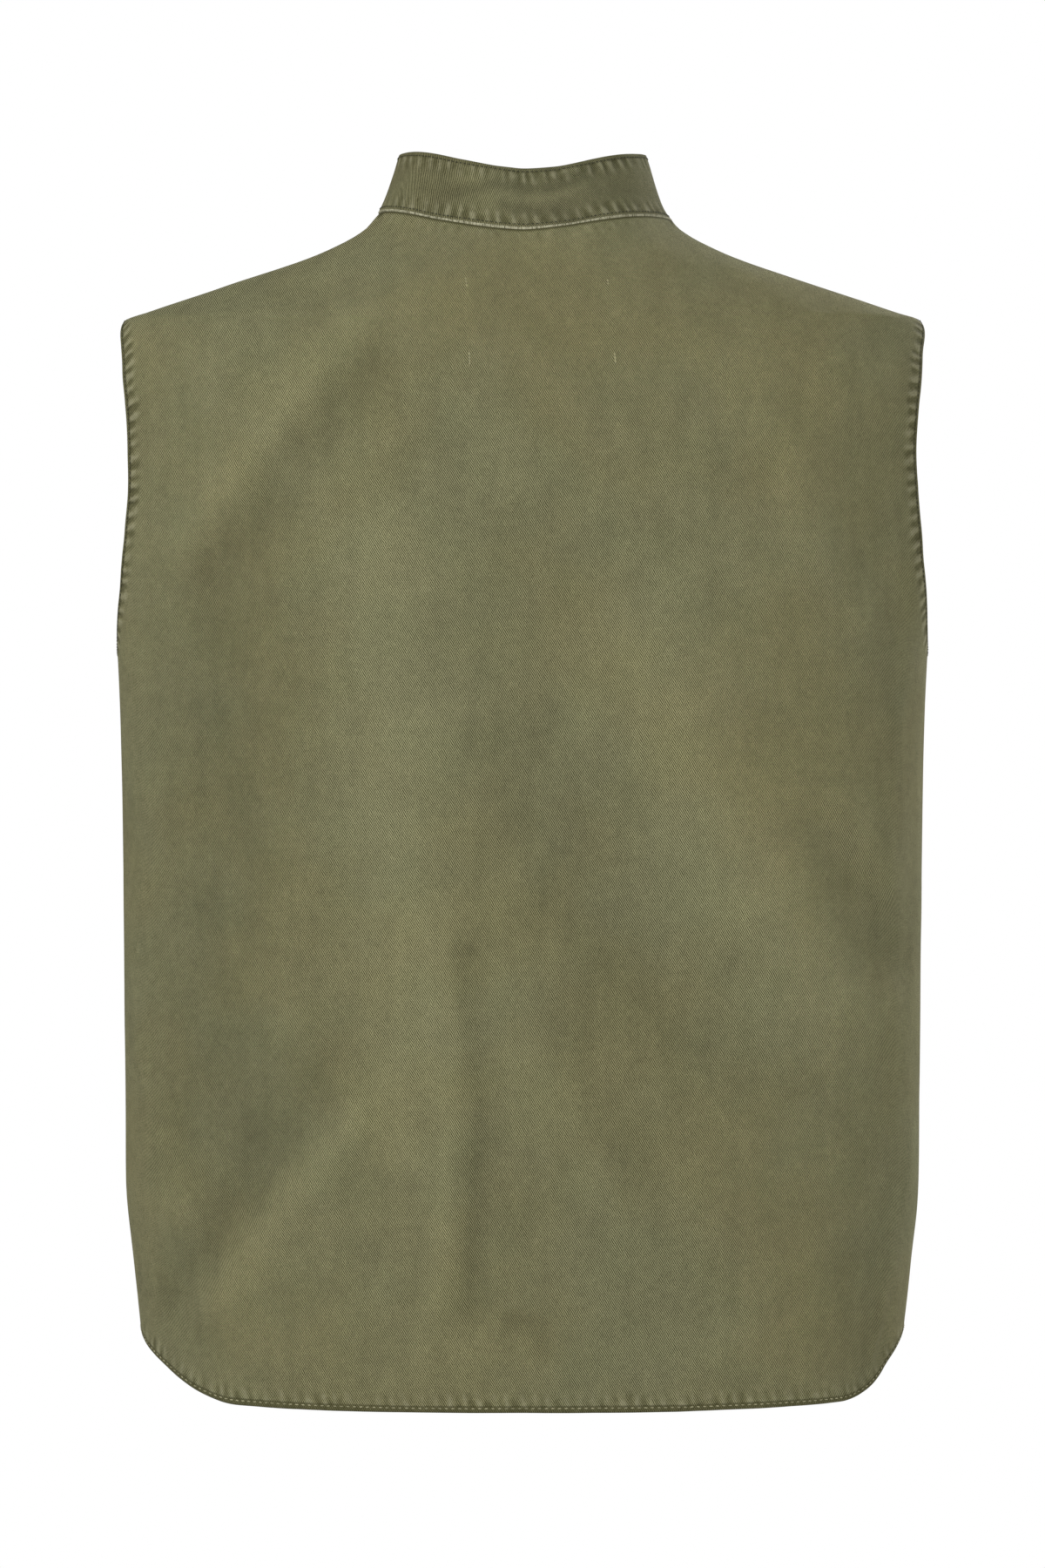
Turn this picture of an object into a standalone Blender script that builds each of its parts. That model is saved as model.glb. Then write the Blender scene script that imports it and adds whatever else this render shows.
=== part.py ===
"""A sleeveless canvas vest with a stand collar, filled out as it hangs on the shoulders.

One back, two fronts that lap at the centre and a stand collar, each a wall of cloth, with seven
buttons. The body is a stack of rings: each ring is a squared ellipse whose half width and depths
come from the table SECTIONS. The back and the fronts are cut from those rings along the side
seams, the armholes, the shoulder seams and the neckline.

Metres, +Z up. The back faces -Y and the buttons face +Y, so +X is the wearer's right. The origin
lies midway between the two points where the shoulder seams meet the collar.
"""

import math

import bmesh
import bpy
import numpy as np
from mathutils import Matrix, Vector

MM = 0.001

# Cloth
CLOTH = 1.4 * MM  # wall of the washed canvas
SEAM_GAP = 0.3 * MM  # between two pieces that are sewn together
TURNED_EDGE = 12 * MM  # width of the doubled cloth along the hem

# Lengths down from the neck end of the shoulder seam
SHOULDER_POINT = -64.4 * MM
ARMHOLE_BOTTOM = -262 * MM
HEM = -700 * MM

# Levels of the neckline
NECK_AT_SHOULDERS = -2.4 * MM
NECK_TILT = 2.2 * MM  # lower than that on the wearer's right, and higher on the left
NECK_AT_BACK = -15.2 * MM
NECK_AT_FRONT = -82 * MM
BACK_NECK_CURVE = 3.3  # the larger, the longer the neckline stays up behind the shoulder
FRONT_NECK_CURVE = 1.45

# Armhole, as it cuts into the side
ARMHOLE_BACK_DEPTH = 46 * MM
ARMHOLE_FRONT_DEPTH = 54 * MM
ARMHOLE_SQUARENESS = 2.3

# Hem, curved like a shirt tail
HEM_RISE = 34.5 * MM  # at the side seam
HEM_RISE_REACH = 104 * MM  # along the cloth, either side of the seam
HEM_REACH_TILT = 16 * MM  # shorter than that on the wearer's right, and longer on the left
HEM_EASE = 2 * MM  # a slighter rise that starts further off
HEM_EASE_REACH = 230 * MM
HEM_BLEND = 200 * MM  # height over which the rows of the wall level out

# Front lap and buttons
LAP = 15 * MM  # each front runs this far past the centre
LAP_LIFT = 3.3 * MM  # the upper front lies this much further out
LAP_RAMP = 34 * MM  # width over which the upper front comes back down
BUTTON_RADIUS = 9 * MM
BUTTON_THICKNESS = 3.2 * MM
BUTTON_ROUNDING = 0.8 * MM
BUTTON_SIDES = 24
FIRST_BUTTON = -128 * MM
BUTTON_SPACING = 94 * MM
BUTTONS_ON_FRONT = 6

# Stand collar
COLLAR_HEIGHT = 38 * MM
COLLAR_DIP = 1.6 * MM  # its top edge sags right of the centre back
COLLAR_DIP_PLACE = 42 * MM
COLLAR_DIP_WIDTH = 30 * MM
COLLAR_CLOTH = 2.6 * MM  # two layers and a stiffener
COLLAR_PROUD = 0.6 * MM  # its face stands this far outside the neckline
COLLAR_RAISED = 0.8 * MM  # and this far above, as its inner face leans lower
COLLAR_LAP_LIFT = 1.2 * MM  # added to the upper end, which the front's lift already carries out
COLLAR_LEAN = math.radians(17.3)
COLLAR_FLARE = 1.5 * MM  # its foot spreads out by this much
RIGHT_COLLAR_FLARE = 3.1 * MM  # and by this much more on the wearer's right shoulder
COLLAR_FLARE_HEIGHT = 6 * MM
COLLAR_SMOOTHING = 5  # columns over which its direction is evened out, either side

# The rings of the body, in mm: every row is one level below the shoulder neck point
LEVEL, HALF_WIDTH, BACK_DEPTH, FRONT_DEPTH, SQUARENESS = range(5)
SECTIONS = (
    # level, half width, back depth, front depth, squareness
    (0.0, 85.6, 62, 36, 2.00),
    (-5.0, 90.0, 63, 38, 2.00),
    (-8.2, 92.6, 64, 40, 2.00),
    (-14.5, 101.4, 66, 43, 2.00),
    (-20.7, 113.4, 69, 47, 2.02),
    (-27.0, 127.6, 72, 51, 2.04),
    (-39.4, 163.4, 79, 59, 2.08),
    (-52.0, 201.4, 86, 67, 2.12),
    (-60.0, 227.0, 90, 73, 2.14),
    (-64.4, 235.6, 92, 76, 2.15),
    (-82.0, 244.6, 97, 89, 2.20),
    (-110.0, 248.6, 102.5, 98, 2.25),
    (-150.0, 248.0, 109.0, 108, 2.30),
    (-200.0, 245.8, 114.0, 116.5, 2.36),
    (-240.0, 243.4, 116.2, 120.5, 2.40),
    (-262.0, 241.4, 116.9, 122, 2.41),
    (-300.0, 239.6, 117.6, 123.2, 2.42),
    (-340.0, 238.6, 118.2, 123, 2.42),
    (-520.0, 236.6, 119.6, 120.6, 2.42),
    (-574.0, 236.0, 119.8, 119.8, 2.42),
    (-626.0, 231.3, 119.6, 119, 2.42),
    (-664.0, 227.2, 119.2, 118.2, 2.42),
    (-700.0, 223.6, 118.6, 117.4, 2.42),
)

# Soft folds, in mm: how far each stands out (or in), its half width, and its path as (x, level)
BACK_FOLDS = (
    # height, width, path
    (-7.0, 38, ((-150, -215), (-160, -390), (-172, -540))),  # long hollow on the left
    (5.0, 34, ((-66, -215), (-60, -390), (-50, -490))),  # ridge beside the spine
    (3.0, 11, ((-46, -430), (-42, -540), (-46, -640))),  # sharp crease above the hem
    (-3.0, 12, ((-27, -440), (-22, -540), (-26, -640))),
    (-4.5, 30, ((0, -330), (48, -440), (100, -505))),  # hollow right of the spine
    (5.5, 36, ((122, -265), (155, -365), (196, -480))),  # ridge running to the right side
    (-6.0, 22, ((-130, -500), (-170, -560), (-208, -628))),  # drag to the left corner
    (6.0, 25, ((-84, -515), (-120, -575), (-160, -640))),
    (3.0, 18, ((4, -505), (60, -590))),
    (4.0, 17, ((-100, -78), (-150, -140), (-200, -212))),  # neck to left underarm
    (-3.0, 17, ((-86, -104), (-130, -160), (-170, -222))),
    (2.5, 17, ((124, -100), (192, -240))),  # neck to right underarm
    (-3.0, 15, ((2, -645), (18, -678))),  # dent at the middle of the hem
)
FRONT_FOLDS = (
    (4.0, 18, ((-96, -96), (-150, -160), (-198, -226))),  # neck to each underarm
    (-3.0, 17, ((-76, -120), (-128, -190), (-170, -240))),
    (3.5, 18, ((100, -100), (160, -176), (200, -236))),
    (-3.0, 16, ((82, -126), (130, -196), (168, -250))),
    (5.0, 32, ((-118, -262), (-128, -420), (-120, -560))),  # long falls from the chest
    (-5.5, 30, ((-176, -330), (-188, -470), (-180, -600))),
    (5.0, 34, ((112, -250), (124, -400), (136, -540))),
    (-5.0, 30, ((62, -360), (70, -480), (64, -590))),
    (4.5, 26, ((186, -420), (170, -540), (150, -640))),
    (-3.5, 22, ((-60, -470), (-84, -560), (-112, -640))),
)
FOLD_FADE = 36 * MM  # the folds die away towards the side and shoulder seams

# Rows and columns of the walls
BODY_ROWS = 19
ARMHOLE_ROWS = 13
SHOULDER_ROWS = 8
BACK_COLUMNS = 42
FRONT_COLUMNS = 17
COLUMN_SQUEEZE = 0.45  # how much closer the columns stand at the edges than on average
COLLAR_ROWS = 4
COLLAR_ROW_SQUEEZE = 1.3  # the larger, the closer the rows stand at the collar's foot
FINE_STEPS = 400  # for measuring along a row
EDGE_ROUNDS = 20  # for finding where a row meets an edge

CANVAS_COLOUR = (0.174, 0.165, 0.089, 1.0)
BUTTON_COLOUR = (0.055, 0.048, 0.030, 1.0)


def table_value(level, column):
    """One column of SECTIONS at the given levels, as a smooth curve that never overshoots a row."""
    rows = np.array(SECTIONS[::-1], float)
    at, value = rows[:, LEVEL] * MM, rows[:, column]
    step, rise = np.diff(at), np.diff(value)
    chord = rise / step
    slope = np.zeros(len(at))
    for i in range(1, len(at) - 1):
        if chord[i - 1] * chord[i] > 0:
            before, after = 2 * step[i] + step[i - 1], step[i] + 2 * step[i - 1]
            slope[i] = (before + after) / (before / chord[i - 1] + after / chord[i])
    slope[0], slope[-1] = chord[0], chord[-1]
    z = np.clip(level, at[0], at[-1])
    i = np.clip(np.searchsorted(at, z) - 1, 0, len(step) - 1)
    t = (z - at[i]) / step[i]
    return (
        value[i] * (1 + 2 * t) * (1 - t) ** 2
        + slope[i] * step[i] * t * (1 - t) ** 2
        + value[i + 1] * t**2 * (3 - 2 * t)
        + slope[i + 1] * step[i] * t**2 * (t - 1)
    )


def half_width(level):
    return table_value(level, HALF_WIDTH) * MM


def depth(level, angle):
    """Depth of the back where sin(angle) is positive, and of the front elsewhere."""
    back, front = table_value(level, BACK_DEPTH), table_value(level, FRONT_DEPTH)
    return np.where(np.sin(angle) > 0, back, front) * MM


def signed_power(value, exponent):
    return np.sign(value) * np.abs(value) ** exponent


def ring_point(angle, level):
    """A point of the body. Angle 0 is the right side seam, 90 degrees the centre back."""
    power = 2 / table_value(level, SQUARENESS)
    x = half_width(level) * signed_power(np.cos(angle), power)
    y = -depth(level, angle) * signed_power(np.sin(angle), power)
    return np.stack([x, y, np.broadcast_to(level, x.shape)], axis=-1)


def angle_at_x(x, level):
    """Angle between 0 and 90 degrees at which the ring at this level is x wide."""
    share = np.clip(x / half_width(level), 0, 1)
    return np.arccos(share ** (table_value(level, SQUARENESS) / 2))


def neckline():
    """Arrays of angle and level along the neckline, round from centre front to centre front."""
    turn = np.radians(np.linspace(-90, 270, 721))
    behind, beside = np.abs(np.sin(turn)), np.cos(turn)
    shoulder = NECK_AT_SHOULDERS - NECK_TILT * beside**3
    back = shoulder + (NECK_AT_BACK - shoulder) * behind**BACK_NECK_CURVE
    front = shoulder + (NECK_AT_FRONT - shoulder) * behind**FRONT_NECK_CURVE
    level = np.where(np.sin(turn) > 0, back, front)
    from_side = angle_at_x(half_width(shoulder) * np.abs(beside), level)
    angle = np.where(np.sin(turn) > 0, from_side, -from_side)
    return np.where(beside >= 0, angle, math.pi - angle), level


NECK_ANGLES, NECK_LEVELS = neckline()


def neck_level(angle):
    """Height of the neckline at an angle, also a little past the centre front at either end."""
    turned = np.where(angle > 1.5 * math.pi, 3 * math.pi - angle, angle)
    turned = np.where(turned < -0.5 * math.pi, -math.pi - turned, turned)
    return np.interp(turned, NECK_ANGLES, NECK_LEVELS)


def hem_rise(angle):
    """How much the hem is cut away towards the side seams."""
    fine = np.radians(np.linspace(0, 90, 181))
    line = ring_point(fine, np.full(fine.shape, HEM + HEM_RISE / 2))
    arc = np.concatenate([[0], np.cumsum(np.linalg.norm(np.diff(line, axis=0), axis=1))])
    to_seam = np.abs(np.arcsin(np.clip(np.sin(angle), -1, 1)))
    reach = HEM_RISE_REACH - HEM_REACH_TILT * np.cos(angle)
    along = np.interp(to_seam, fine, arc)
    rise = HEM_RISE * 0.5 * (1 + np.cos(math.pi * np.minimum(along / reach, 1)))
    return rise + HEM_EASE * 0.5 * (1 + np.cos(math.pi * np.minimum(along / HEM_EASE_REACH, 1)))


def wall_level(row_level, angle):
    """Level of a point in a row: level rows in the middle that bend to the neckline and the hem."""
    above_point = np.clip(1 - row_level / SHOULDER_POINT, 0, 1) ** 2
    above_armhole = np.clip(1 - row_level / ARMHOLE_BOTTOM, 0, 1) ** 2
    near_hem = np.clip(1 - (row_level - HEM) / HEM_BLEND, 0, 1) ** 2
    end = NECK_AT_SHOULDERS - NECK_TILT * np.cos(angle)
    level = row_level + end * above_point + (neck_level(angle) - end) * above_armhole
    return level + hem_rise(angle) * near_hem


def armhole_share(level):
    """0 at the shoulder point, 1 at the bottom of the armhole, clipped outside."""
    return np.clip((level - SHOULDER_POINT) / (ARMHOLE_BOTTOM - SHOULDER_POINT), 0, 1)


def edge_angle(level, armhole_depth, depth_column):
    """How far round the ring the armhole has cut, from the side."""
    cut = armhole_depth * np.sqrt(1 - np.abs(1 - 2 * armhole_share(level)) ** ARMHOLE_SQUARENESS)
    share = cut / (table_value(level, depth_column) * MM)
    return np.arcsin(share ** (table_value(level, SQUARENESS) / 2))


def lap_share(x):
    """1 over the lap and 0 beyond the ramp that leads up to it."""
    past = np.clip((x - LAP) / LAP_RAMP, 0, 1)
    return 1 - past**2 * (3 - 2 * past)


def fold_relief(x, height, folds):
    """Sum of the soft folds at points given across and up the cloth."""
    total = np.zeros(np.shape(x))
    for stand_out, width, path in folds:
        nearest = np.full(np.shape(x), np.inf)
        for (x0, z0), (x1, z1) in zip(path, path[1:]):
            ax, az, bx, bz = x0 * MM, z0 * MM, x1 * MM, z1 * MM
            along = (x - ax) * (bx - ax) + (height - az) * (bz - az)
            t = np.clip(along / ((bx - ax) ** 2 + (bz - az) ** 2), 0, 1)
            away = np.hypot(x - ax - t * (bx - ax), height - az - t * (bz - az))
            nearest = np.minimum(nearest, away)
        total += stand_out * MM * np.exp(-((nearest / (width * MM)) ** 2))
    return total


def normals(grid):
    """Outward unit normals of a grid of points, rows upwards and columns to the viewer's right."""
    across, up = np.gradient(grid, axis=1), np.gradient(grid, axis=0)
    normal = np.cross(across, up)
    return normal / np.linalg.norm(normal, axis=-1, keepdims=True)


def row_levels():
    """Levels of the rows: two close rows at the turned hem, and more where the armhole turns."""
    hem = [HEM, HEM + TURNED_EDGE, HEM + TURNED_EDGE + 2 * MM]
    body = np.linspace(hem[-1], ARMHOLE_BOTTOM, BODY_ROWS + 1)[1:]
    turn = 0.5 - 0.5 * np.cos(np.linspace(0, math.pi, ARMHOLE_ROWS + 1)[1:])
    armhole = ARMHOLE_BOTTOM + (SHOULDER_POINT - ARMHOLE_BOTTOM) * turn
    shoulder = np.linspace(SHOULDER_POINT, 0, SHOULDER_ROWS + 1)[1:]
    return np.concatenate([hem, body, armhole, shoulder])


def edge_of_row(row, edge):
    """Angle at which a row meets an edge, given as a function of the level."""
    angle = edge(row)
    for _ in range(EDGE_ROUNDS):  # the row's level depends on the angle, and the edge on the level
        angle = edge(wall_level(row, angle))
    return float(angle)


def panel_points(first_edge, last_edge, columns, folds):
    """Grid of outer points between two edges, with the columns even along the cloth."""
    even = np.linspace(0, 1, columns + 1)
    share = even - COLUMN_SQUEEZE * np.sin(2 * math.pi * even) / (2 * math.pi)
    rows = row_levels()
    grid = np.empty((len(rows), columns + 1, 3))
    for j, row in enumerate(rows):
        ends = edge_of_row(row, first_edge), edge_of_row(row, last_edge)
        fine = np.linspace(*ends, FINE_STEPS)
        line = ring_point(fine, wall_level(row, fine))
        steps = np.linalg.norm(np.diff(line, axis=0), axis=1)
        along = np.concatenate([[0], np.cumsum(steps)])
        angle = np.interp(share * along[-1], along, fine)
        grid[j] = ring_point(angle, wall_level(row, angle))
    fade = 1 - np.exp(-((grid[..., 1] / FOLD_FADE) ** 2))
    relief = fade * fold_relief(grid[..., 0], grid[..., 2], folds)
    return grid + normals(grid) * relief[..., None]


def back_side_edge(level):
    return edge_angle(level, ARMHOLE_BACK_DEPTH, BACK_DEPTH)


def front_side_edge(level):
    return -edge_angle(level, ARMHOLE_FRONT_DEPTH, FRONT_DEPTH)


def front_centre_edge(level):
    """Edge of the wearer's right front, which runs past the centre by the lap."""
    return angle_at_x(LAP, level) - math.pi


def back_points():
    def left_edge(level):
        return math.pi - back_side_edge(level)

    return panel_points(left_edge, back_side_edge, BACK_COLUMNS, BACK_FOLDS)


def right_front_points():
    """The upper front, lifted off the lower one where they lap."""
    grid = panel_points(front_side_edge, front_centre_edge, FRONT_COLUMNS, FRONT_FOLDS)
    return grid + normals(grid) * LAP_LIFT * lap_share(grid[..., 0])[..., None]


def left_front_points():
    def centre_edge(level):
        return math.pi - front_centre_edge(level)

    def side_edge(level):
        return math.pi - front_side_edge(level)

    return panel_points(centre_edge, side_edge, FRONT_COLUMNS, FRONT_FOLDS)


def open_seams(grid):
    """Draws each edge that lies on a side or shoulder seam back by half the gap."""
    toward = np.sign(grid[..., 1].mean())
    grid[..., 1] = toward * np.maximum(toward * grid[..., 1], SEAM_GAP / 2)
    return grid


def material(name, colour, roughness):
    made = bpy.data.materials.new(name)
    made.use_nodes = True
    shader = made.node_tree.nodes["Principled BSDF"]
    shader.inputs["Base Color"].default_value = colour
    shader.inputs["Roughness"].default_value = roughness
    shader.inputs["Metallic"].default_value = 0.0
    return made


def sheet_object(name, grid, doubled, finish, collection):
    """An open surface through the grid. doubled is True at points whose cloth is turned back."""
    rows, columns = grid.shape[:2]
    points = [Vector(p) for p in grid.reshape(-1, 3)]
    faces = [
        (j * columns + i, j * columns + i + 1, (j + 1) * columns + i + 1, (j + 1) * columns + i)
        for j in range(rows - 1)
        for i in range(columns - 1)
    ]
    mesh = bpy.data.meshes.new(name)
    mesh.from_pydata(points, [], faces)
    mesh.materials.append(finish)
    mesh.shade_smooth()
    mesh.set_sharp_from_angle(angle=math.radians(50))
    obj = bpy.data.objects.new(name, mesh)
    collection.objects.link(obj)
    group = obj.vertex_groups.new(name="turned_edge")
    group.add([int(i) for i in np.flatnonzero(doubled.ravel())], 1.0, "REPLACE")
    return obj


def give_wall(obj, thickness, doubled_share=1.0):
    """Thickens the sheet inwards. Points outside the turned edge get a share of the thickness."""
    wall = obj.modifiers.new("wall", "SOLIDIFY")
    wall.thickness = thickness
    wall.offset = -1
    wall.use_rim = True
    if doubled_share < 1:
        wall.vertex_group = "turned_edge"
        wall.thickness_vertex_group = doubled_share
    return obj


def make_panel(name, grid, armhole_columns, finish, collection):
    rows = row_levels()
    doubled = np.zeros(grid.shape[:2], bool)
    doubled[:2] = True
    beside = (rows > ARMHOLE_BOTTOM + TURNED_EDGE) & (rows < SHOULDER_POINT - TURNED_EDGE)
    for column in armhole_columns:
        doubled[beside, column] = True
    obj = sheet_object(name, open_seams(grid), doubled, finish, collection)
    return give_wall(obj, 2 * CLOTH, 0.5)


def smooth(line):
    """Evens out vectors along a line, with the ends held."""
    padded = np.pad(line, ((COLLAR_SMOOTHING,) * 2, (0, 0)), "edge")
    weights = np.hanning(2 * COLLAR_SMOOTHING + 3)[1:-1]
    kernel = weights / weights.sum()
    return np.stack([np.convolve(padded[:, k], kernel, "valid") for k in range(3)], axis=-1)


def unit(vectors):
    return vectors / np.linalg.norm(vectors, axis=-1, keepdims=True)


def collar_points(front_left, back, front_right):
    """Grid of outer points of the collar. Its foot follows the neck edges of the three panels."""
    foot = np.concatenate([front_left[-1], back[-1, 1:-1], front_right[-1]])
    along = unit(smooth(unit(np.gradient(foot, axis=0))))
    out = unit(np.stack([along[:, 1], -along[:, 0], np.zeros(len(foot))], axis=-1))
    lean = math.tan(COLLAR_LEAN)
    up = unit(np.array([0, 0, 1]) - lean * out)
    up = unit(up - (up * along).sum(axis=-1, keepdims=True) * along)
    on_upper_front = (np.arange(len(foot)) > len(foot) / 2) & (out[:, 1] > 0)
    lap = COLLAR_LAP_LIFT * lap_share(foot[:, 0]) * on_upper_front
    flare = COLLAR_FLARE + RIGHT_COLLAR_FLARE * np.clip(out[:, 0], 0, 1) ** 2
    dip = COLLAR_DIP * np.exp(-(((foot[:, 0] - COLLAR_DIP_PLACE) / COLLAR_DIP_WIDTH) ** 2))
    full_height = COLLAR_HEIGHT + NECK_TILT * out[:, 0] ** 3 - dip * (out[:, 1] < 0)
    grid = np.empty((COLLAR_ROWS + 1, len(foot), 3))
    for j, share in enumerate(np.linspace(0, 1, COLLAR_ROWS + 1) ** COLLAR_ROW_SQUEEZE):
        height = COLLAR_RAISED + full_height * share
        inward = flare * (1 - np.exp(-height / COLLAR_FLARE_HEIGHT))
        grid[j] = foot + up * height[:, None] + out * (COLLAR_PROUD + lap - inward)[:, None]
    return grid


def make_collar(grid, finish, collection):
    plain = np.zeros(grid.shape[:2], bool)
    return give_wall(sheet_object("collar", grid, plain, finish, collection), COLLAR_CLOTH)


def make_button(name, seat, normal, finish, collection):
    """A round button lying on the cloth, its back face one gap off it."""
    mesh = bpy.data.meshes.new(name)
    shape = bmesh.new()
    bmesh.ops.create_cone(
        shape, cap_ends=True, segments=BUTTON_SIDES, radius1=BUTTON_RADIUS,
        radius2=BUTTON_RADIUS, depth=BUTTON_THICKNESS,
    )
    shape.to_mesh(mesh)
    shape.free()
    mesh.materials.append(finish)
    mesh.shade_smooth()
    mesh.set_sharp_from_angle(angle=math.radians(35))
    obj = bpy.data.objects.new(name, mesh)
    collection.objects.link(obj)
    centre = seat + normal * (SEAM_GAP + BUTTON_THICKNESS / 2)
    turn = normal.to_track_quat("Z", "Y").to_matrix().to_4x4()
    obj.matrix_world = Matrix.Translation(centre) @ turn
    rounding = obj.modifiers.new("rounding", "BEVEL")
    rounding.width = BUTTON_ROUNDING
    rounding.segments = 2
    rounding.limit_method = "ANGLE"
    return obj


def seat_on(cloth, level):
    """Point and normal of the cloth at the centre front, as its wall really is."""
    graph = bpy.context.evaluated_depsgraph_get()
    shape = cloth.evaluated_get(graph)
    _, point, normal, _ = shape.ray_cast(Vector((0, 1, level)), Vector((0, -1, 0)))
    return point, normal


def make_buttons(front, collar, finish, collection):
    collar_level = NECK_AT_FRONT + COLLAR_HEIGHT / 2
    make_button("button_collar", *seat_on(collar, collar_level), finish, collection)
    for i in range(BUTTONS_ON_FRONT):
        seat = seat_on(front, FIRST_BUTTON - i * BUTTON_SPACING)
        make_button(f"button_{i + 1}", *seat, finish, collection)


def main():
    for obj in list(bpy.data.objects):
        bpy.data.objects.remove(obj)
    collection = bpy.data.collections.new("canvas_vest")
    bpy.context.scene.collection.children.link(collection)
    canvas = material("canvas", CANVAS_COLOUR, 0.9)
    horn = material("button", BUTTON_COLOUR, 0.45)
    back, left, right = back_points(), left_front_points(), right_front_points()
    collar = make_collar(collar_points(left, back, right), canvas, collection)
    make_panel("back", back, (0, -1), canvas, collection)
    upper = make_panel("front_right", right, (0,), canvas, collection)
    make_panel("front_left", left, (-1,), canvas, collection)
    bpy.context.view_layer.update()
    make_buttons(upper, collar, horn, collection)


main()
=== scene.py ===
# %% [markdown]
# # A canvas vest, cell by cell
#
# The real vest is cut from washed cotton twill: one back, two fronts that lap and button, and a
# stand collar. This script dresses the plain solids of the frame in that cloth. It works in
# metres, with +Z up, the back facing -Y and the buttons facing +Y. The origin lies midway
# between the two points where the shoulder seams meet the collar.
#
# Each piece is made here as a fine surface on the same rings as the solids, and it replaces its
# solid in the pictures. The solids stay in the frame for fitting and collision.

# %% Load the frame
import math
import bmesh
import bpy
import numpy as np
from mathutils import Matrix, Vector
from mathutils.bvhtree import BVHTree
from mathutils.geometry import barycentric_transform
from mathutils.kdtree import KDTree


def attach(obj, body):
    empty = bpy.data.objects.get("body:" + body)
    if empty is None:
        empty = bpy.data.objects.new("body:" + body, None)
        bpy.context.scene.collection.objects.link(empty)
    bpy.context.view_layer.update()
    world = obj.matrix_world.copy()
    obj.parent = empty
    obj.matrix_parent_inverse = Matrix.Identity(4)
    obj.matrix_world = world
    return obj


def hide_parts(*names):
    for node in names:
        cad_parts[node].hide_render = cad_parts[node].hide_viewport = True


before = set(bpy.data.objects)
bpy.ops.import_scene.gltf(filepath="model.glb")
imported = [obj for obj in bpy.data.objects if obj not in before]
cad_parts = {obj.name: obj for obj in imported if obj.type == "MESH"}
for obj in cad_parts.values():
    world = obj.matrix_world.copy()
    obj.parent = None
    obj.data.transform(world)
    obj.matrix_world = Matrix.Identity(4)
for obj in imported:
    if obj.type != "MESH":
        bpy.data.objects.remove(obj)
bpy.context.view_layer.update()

MM = 0.001
TINY = 1e-9
print("nodes in the frame:", ", ".join(sorted(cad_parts)))

# %% [markdown]
# ## Camera, light and floor
#
# The photograph is taken level, from straight behind, with a long lens. The camera stands 3 m
# away at half the height of the vest. Its lens could be found by eye, but the picture's long
# side spans a known length at the vest, so the lens follows from that length.

# %% Camera
CAMERA_DISTANCE = 3.0
CAMERA_HEIGHT = -0.340
SENSOR = 36.0  # mm, along the picture's long side
SEEN_HEIGHT = 0.936  # metres of the vest's plane that the long side spans


def linked(name, data):
    """A new object in the scene for this camera, lamp or mesh."""
    obj = bpy.data.objects.new(name, data)
    bpy.context.scene.collection.objects.link(obj)
    return obj


def add_camera():
    data = bpy.data.cameras.new("camera")
    data.sensor_fit = "VERTICAL"
    data.sensor_height = SENSOR
    data.lens = SENSOR * CAMERA_DISTANCE / SEEN_HEIGHT
    camera = linked("camera", data)
    camera.location = (0, -CAMERA_DISTANCE, CAMERA_HEIGHT)
    camera.rotation_euler = (math.radians(90), 0, 0)
    bpy.context.scene.camera = camera
    return camera


camera = add_camera()
print(f"lens {camera.data.lens:.1f} mm")

# %% [markdown]
# The light in the photograph is soft and comes from the upper left, so the folds show and the
# cloth darkens slowly towards the lower right. A large area light does that, and a weak one
# opposite it keeps the right side from going too dark. A third one stands in front, for the views
# of the buttons. An evenly bright world would wash the folds out, so the world is white only where
# the camera sees it, and it lights the cloth as a dim grey.

# %% Lights
LIGHTS = (
    # name, place, size in metres and power in watts
    ("key_light", (-2.1, -2.4, 1.7), 0.9, 100.0),
    ("fill_light", (2.4, -2.0, -0.6), 1.8, 30.0),
    ("front_light", (1.9, 2.3, 1.2), 0.9, 70.0),
)
AIM = Vector((0, 0, -0.36))


def add_light(name, place, size, power):
    data = bpy.data.lights.new(name, "AREA")
    data.size = size
    data.energy = power
    lamp = linked(name, data)
    lamp.location = place
    lamp.rotation_euler = (AIM - Vector(place)).to_track_quat("-Z", "Y").to_euler()


for light in LIGHTS:
    add_light(*light)
bpy.context.scene.view_settings.view_transform = "Standard"
print(len(LIGHTS), "area lights")

# %% World
SEEN_COLOUR = (1.0, 1.0, 1.0, 1.0)
LIGHTING_COLOUR = (0.42, 0.42, 0.42, 1.0)
MIX_SHARE, MIX_FIRST, MIX_SECOND, MIX_RESULT = 0, 6, 7, 2  # a Mix node's sockets for colours


def plug(tree, socket, value):
    """Sets a socket to a value, or links it to another node's output."""
    if isinstance(value, bpy.types.NodeSocket):
        tree.links.new(value, socket)
    else:
        socket.default_value = value


def mix_colours(tree, share, first, second, blend="MIX"):
    node = tree.nodes.new("ShaderNodeMix")
    node.data_type = "RGBA"
    node.blend_type = blend
    for number, value in ((MIX_SHARE, share), (MIX_FIRST, first), (MIX_SECOND, second)):
        plug(tree, node.inputs[number], value)
    return node.outputs[MIX_RESULT]


def pale_world():
    world = bpy.data.worlds.new("pale_studio")
    world.use_nodes = True
    tree = world.node_tree
    seen = tree.nodes.new("ShaderNodeLightPath").outputs["Is Camera Ray"]
    colour = mix_colours(tree, seen, LIGHTING_COLOUR, SEEN_COLOUR)
    plug(tree, tree.nodes["Background"].inputs["Color"], colour)
    return world


bpy.context.scene.world = pale_world()
print("world:", bpy.context.scene.world.name)

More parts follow.
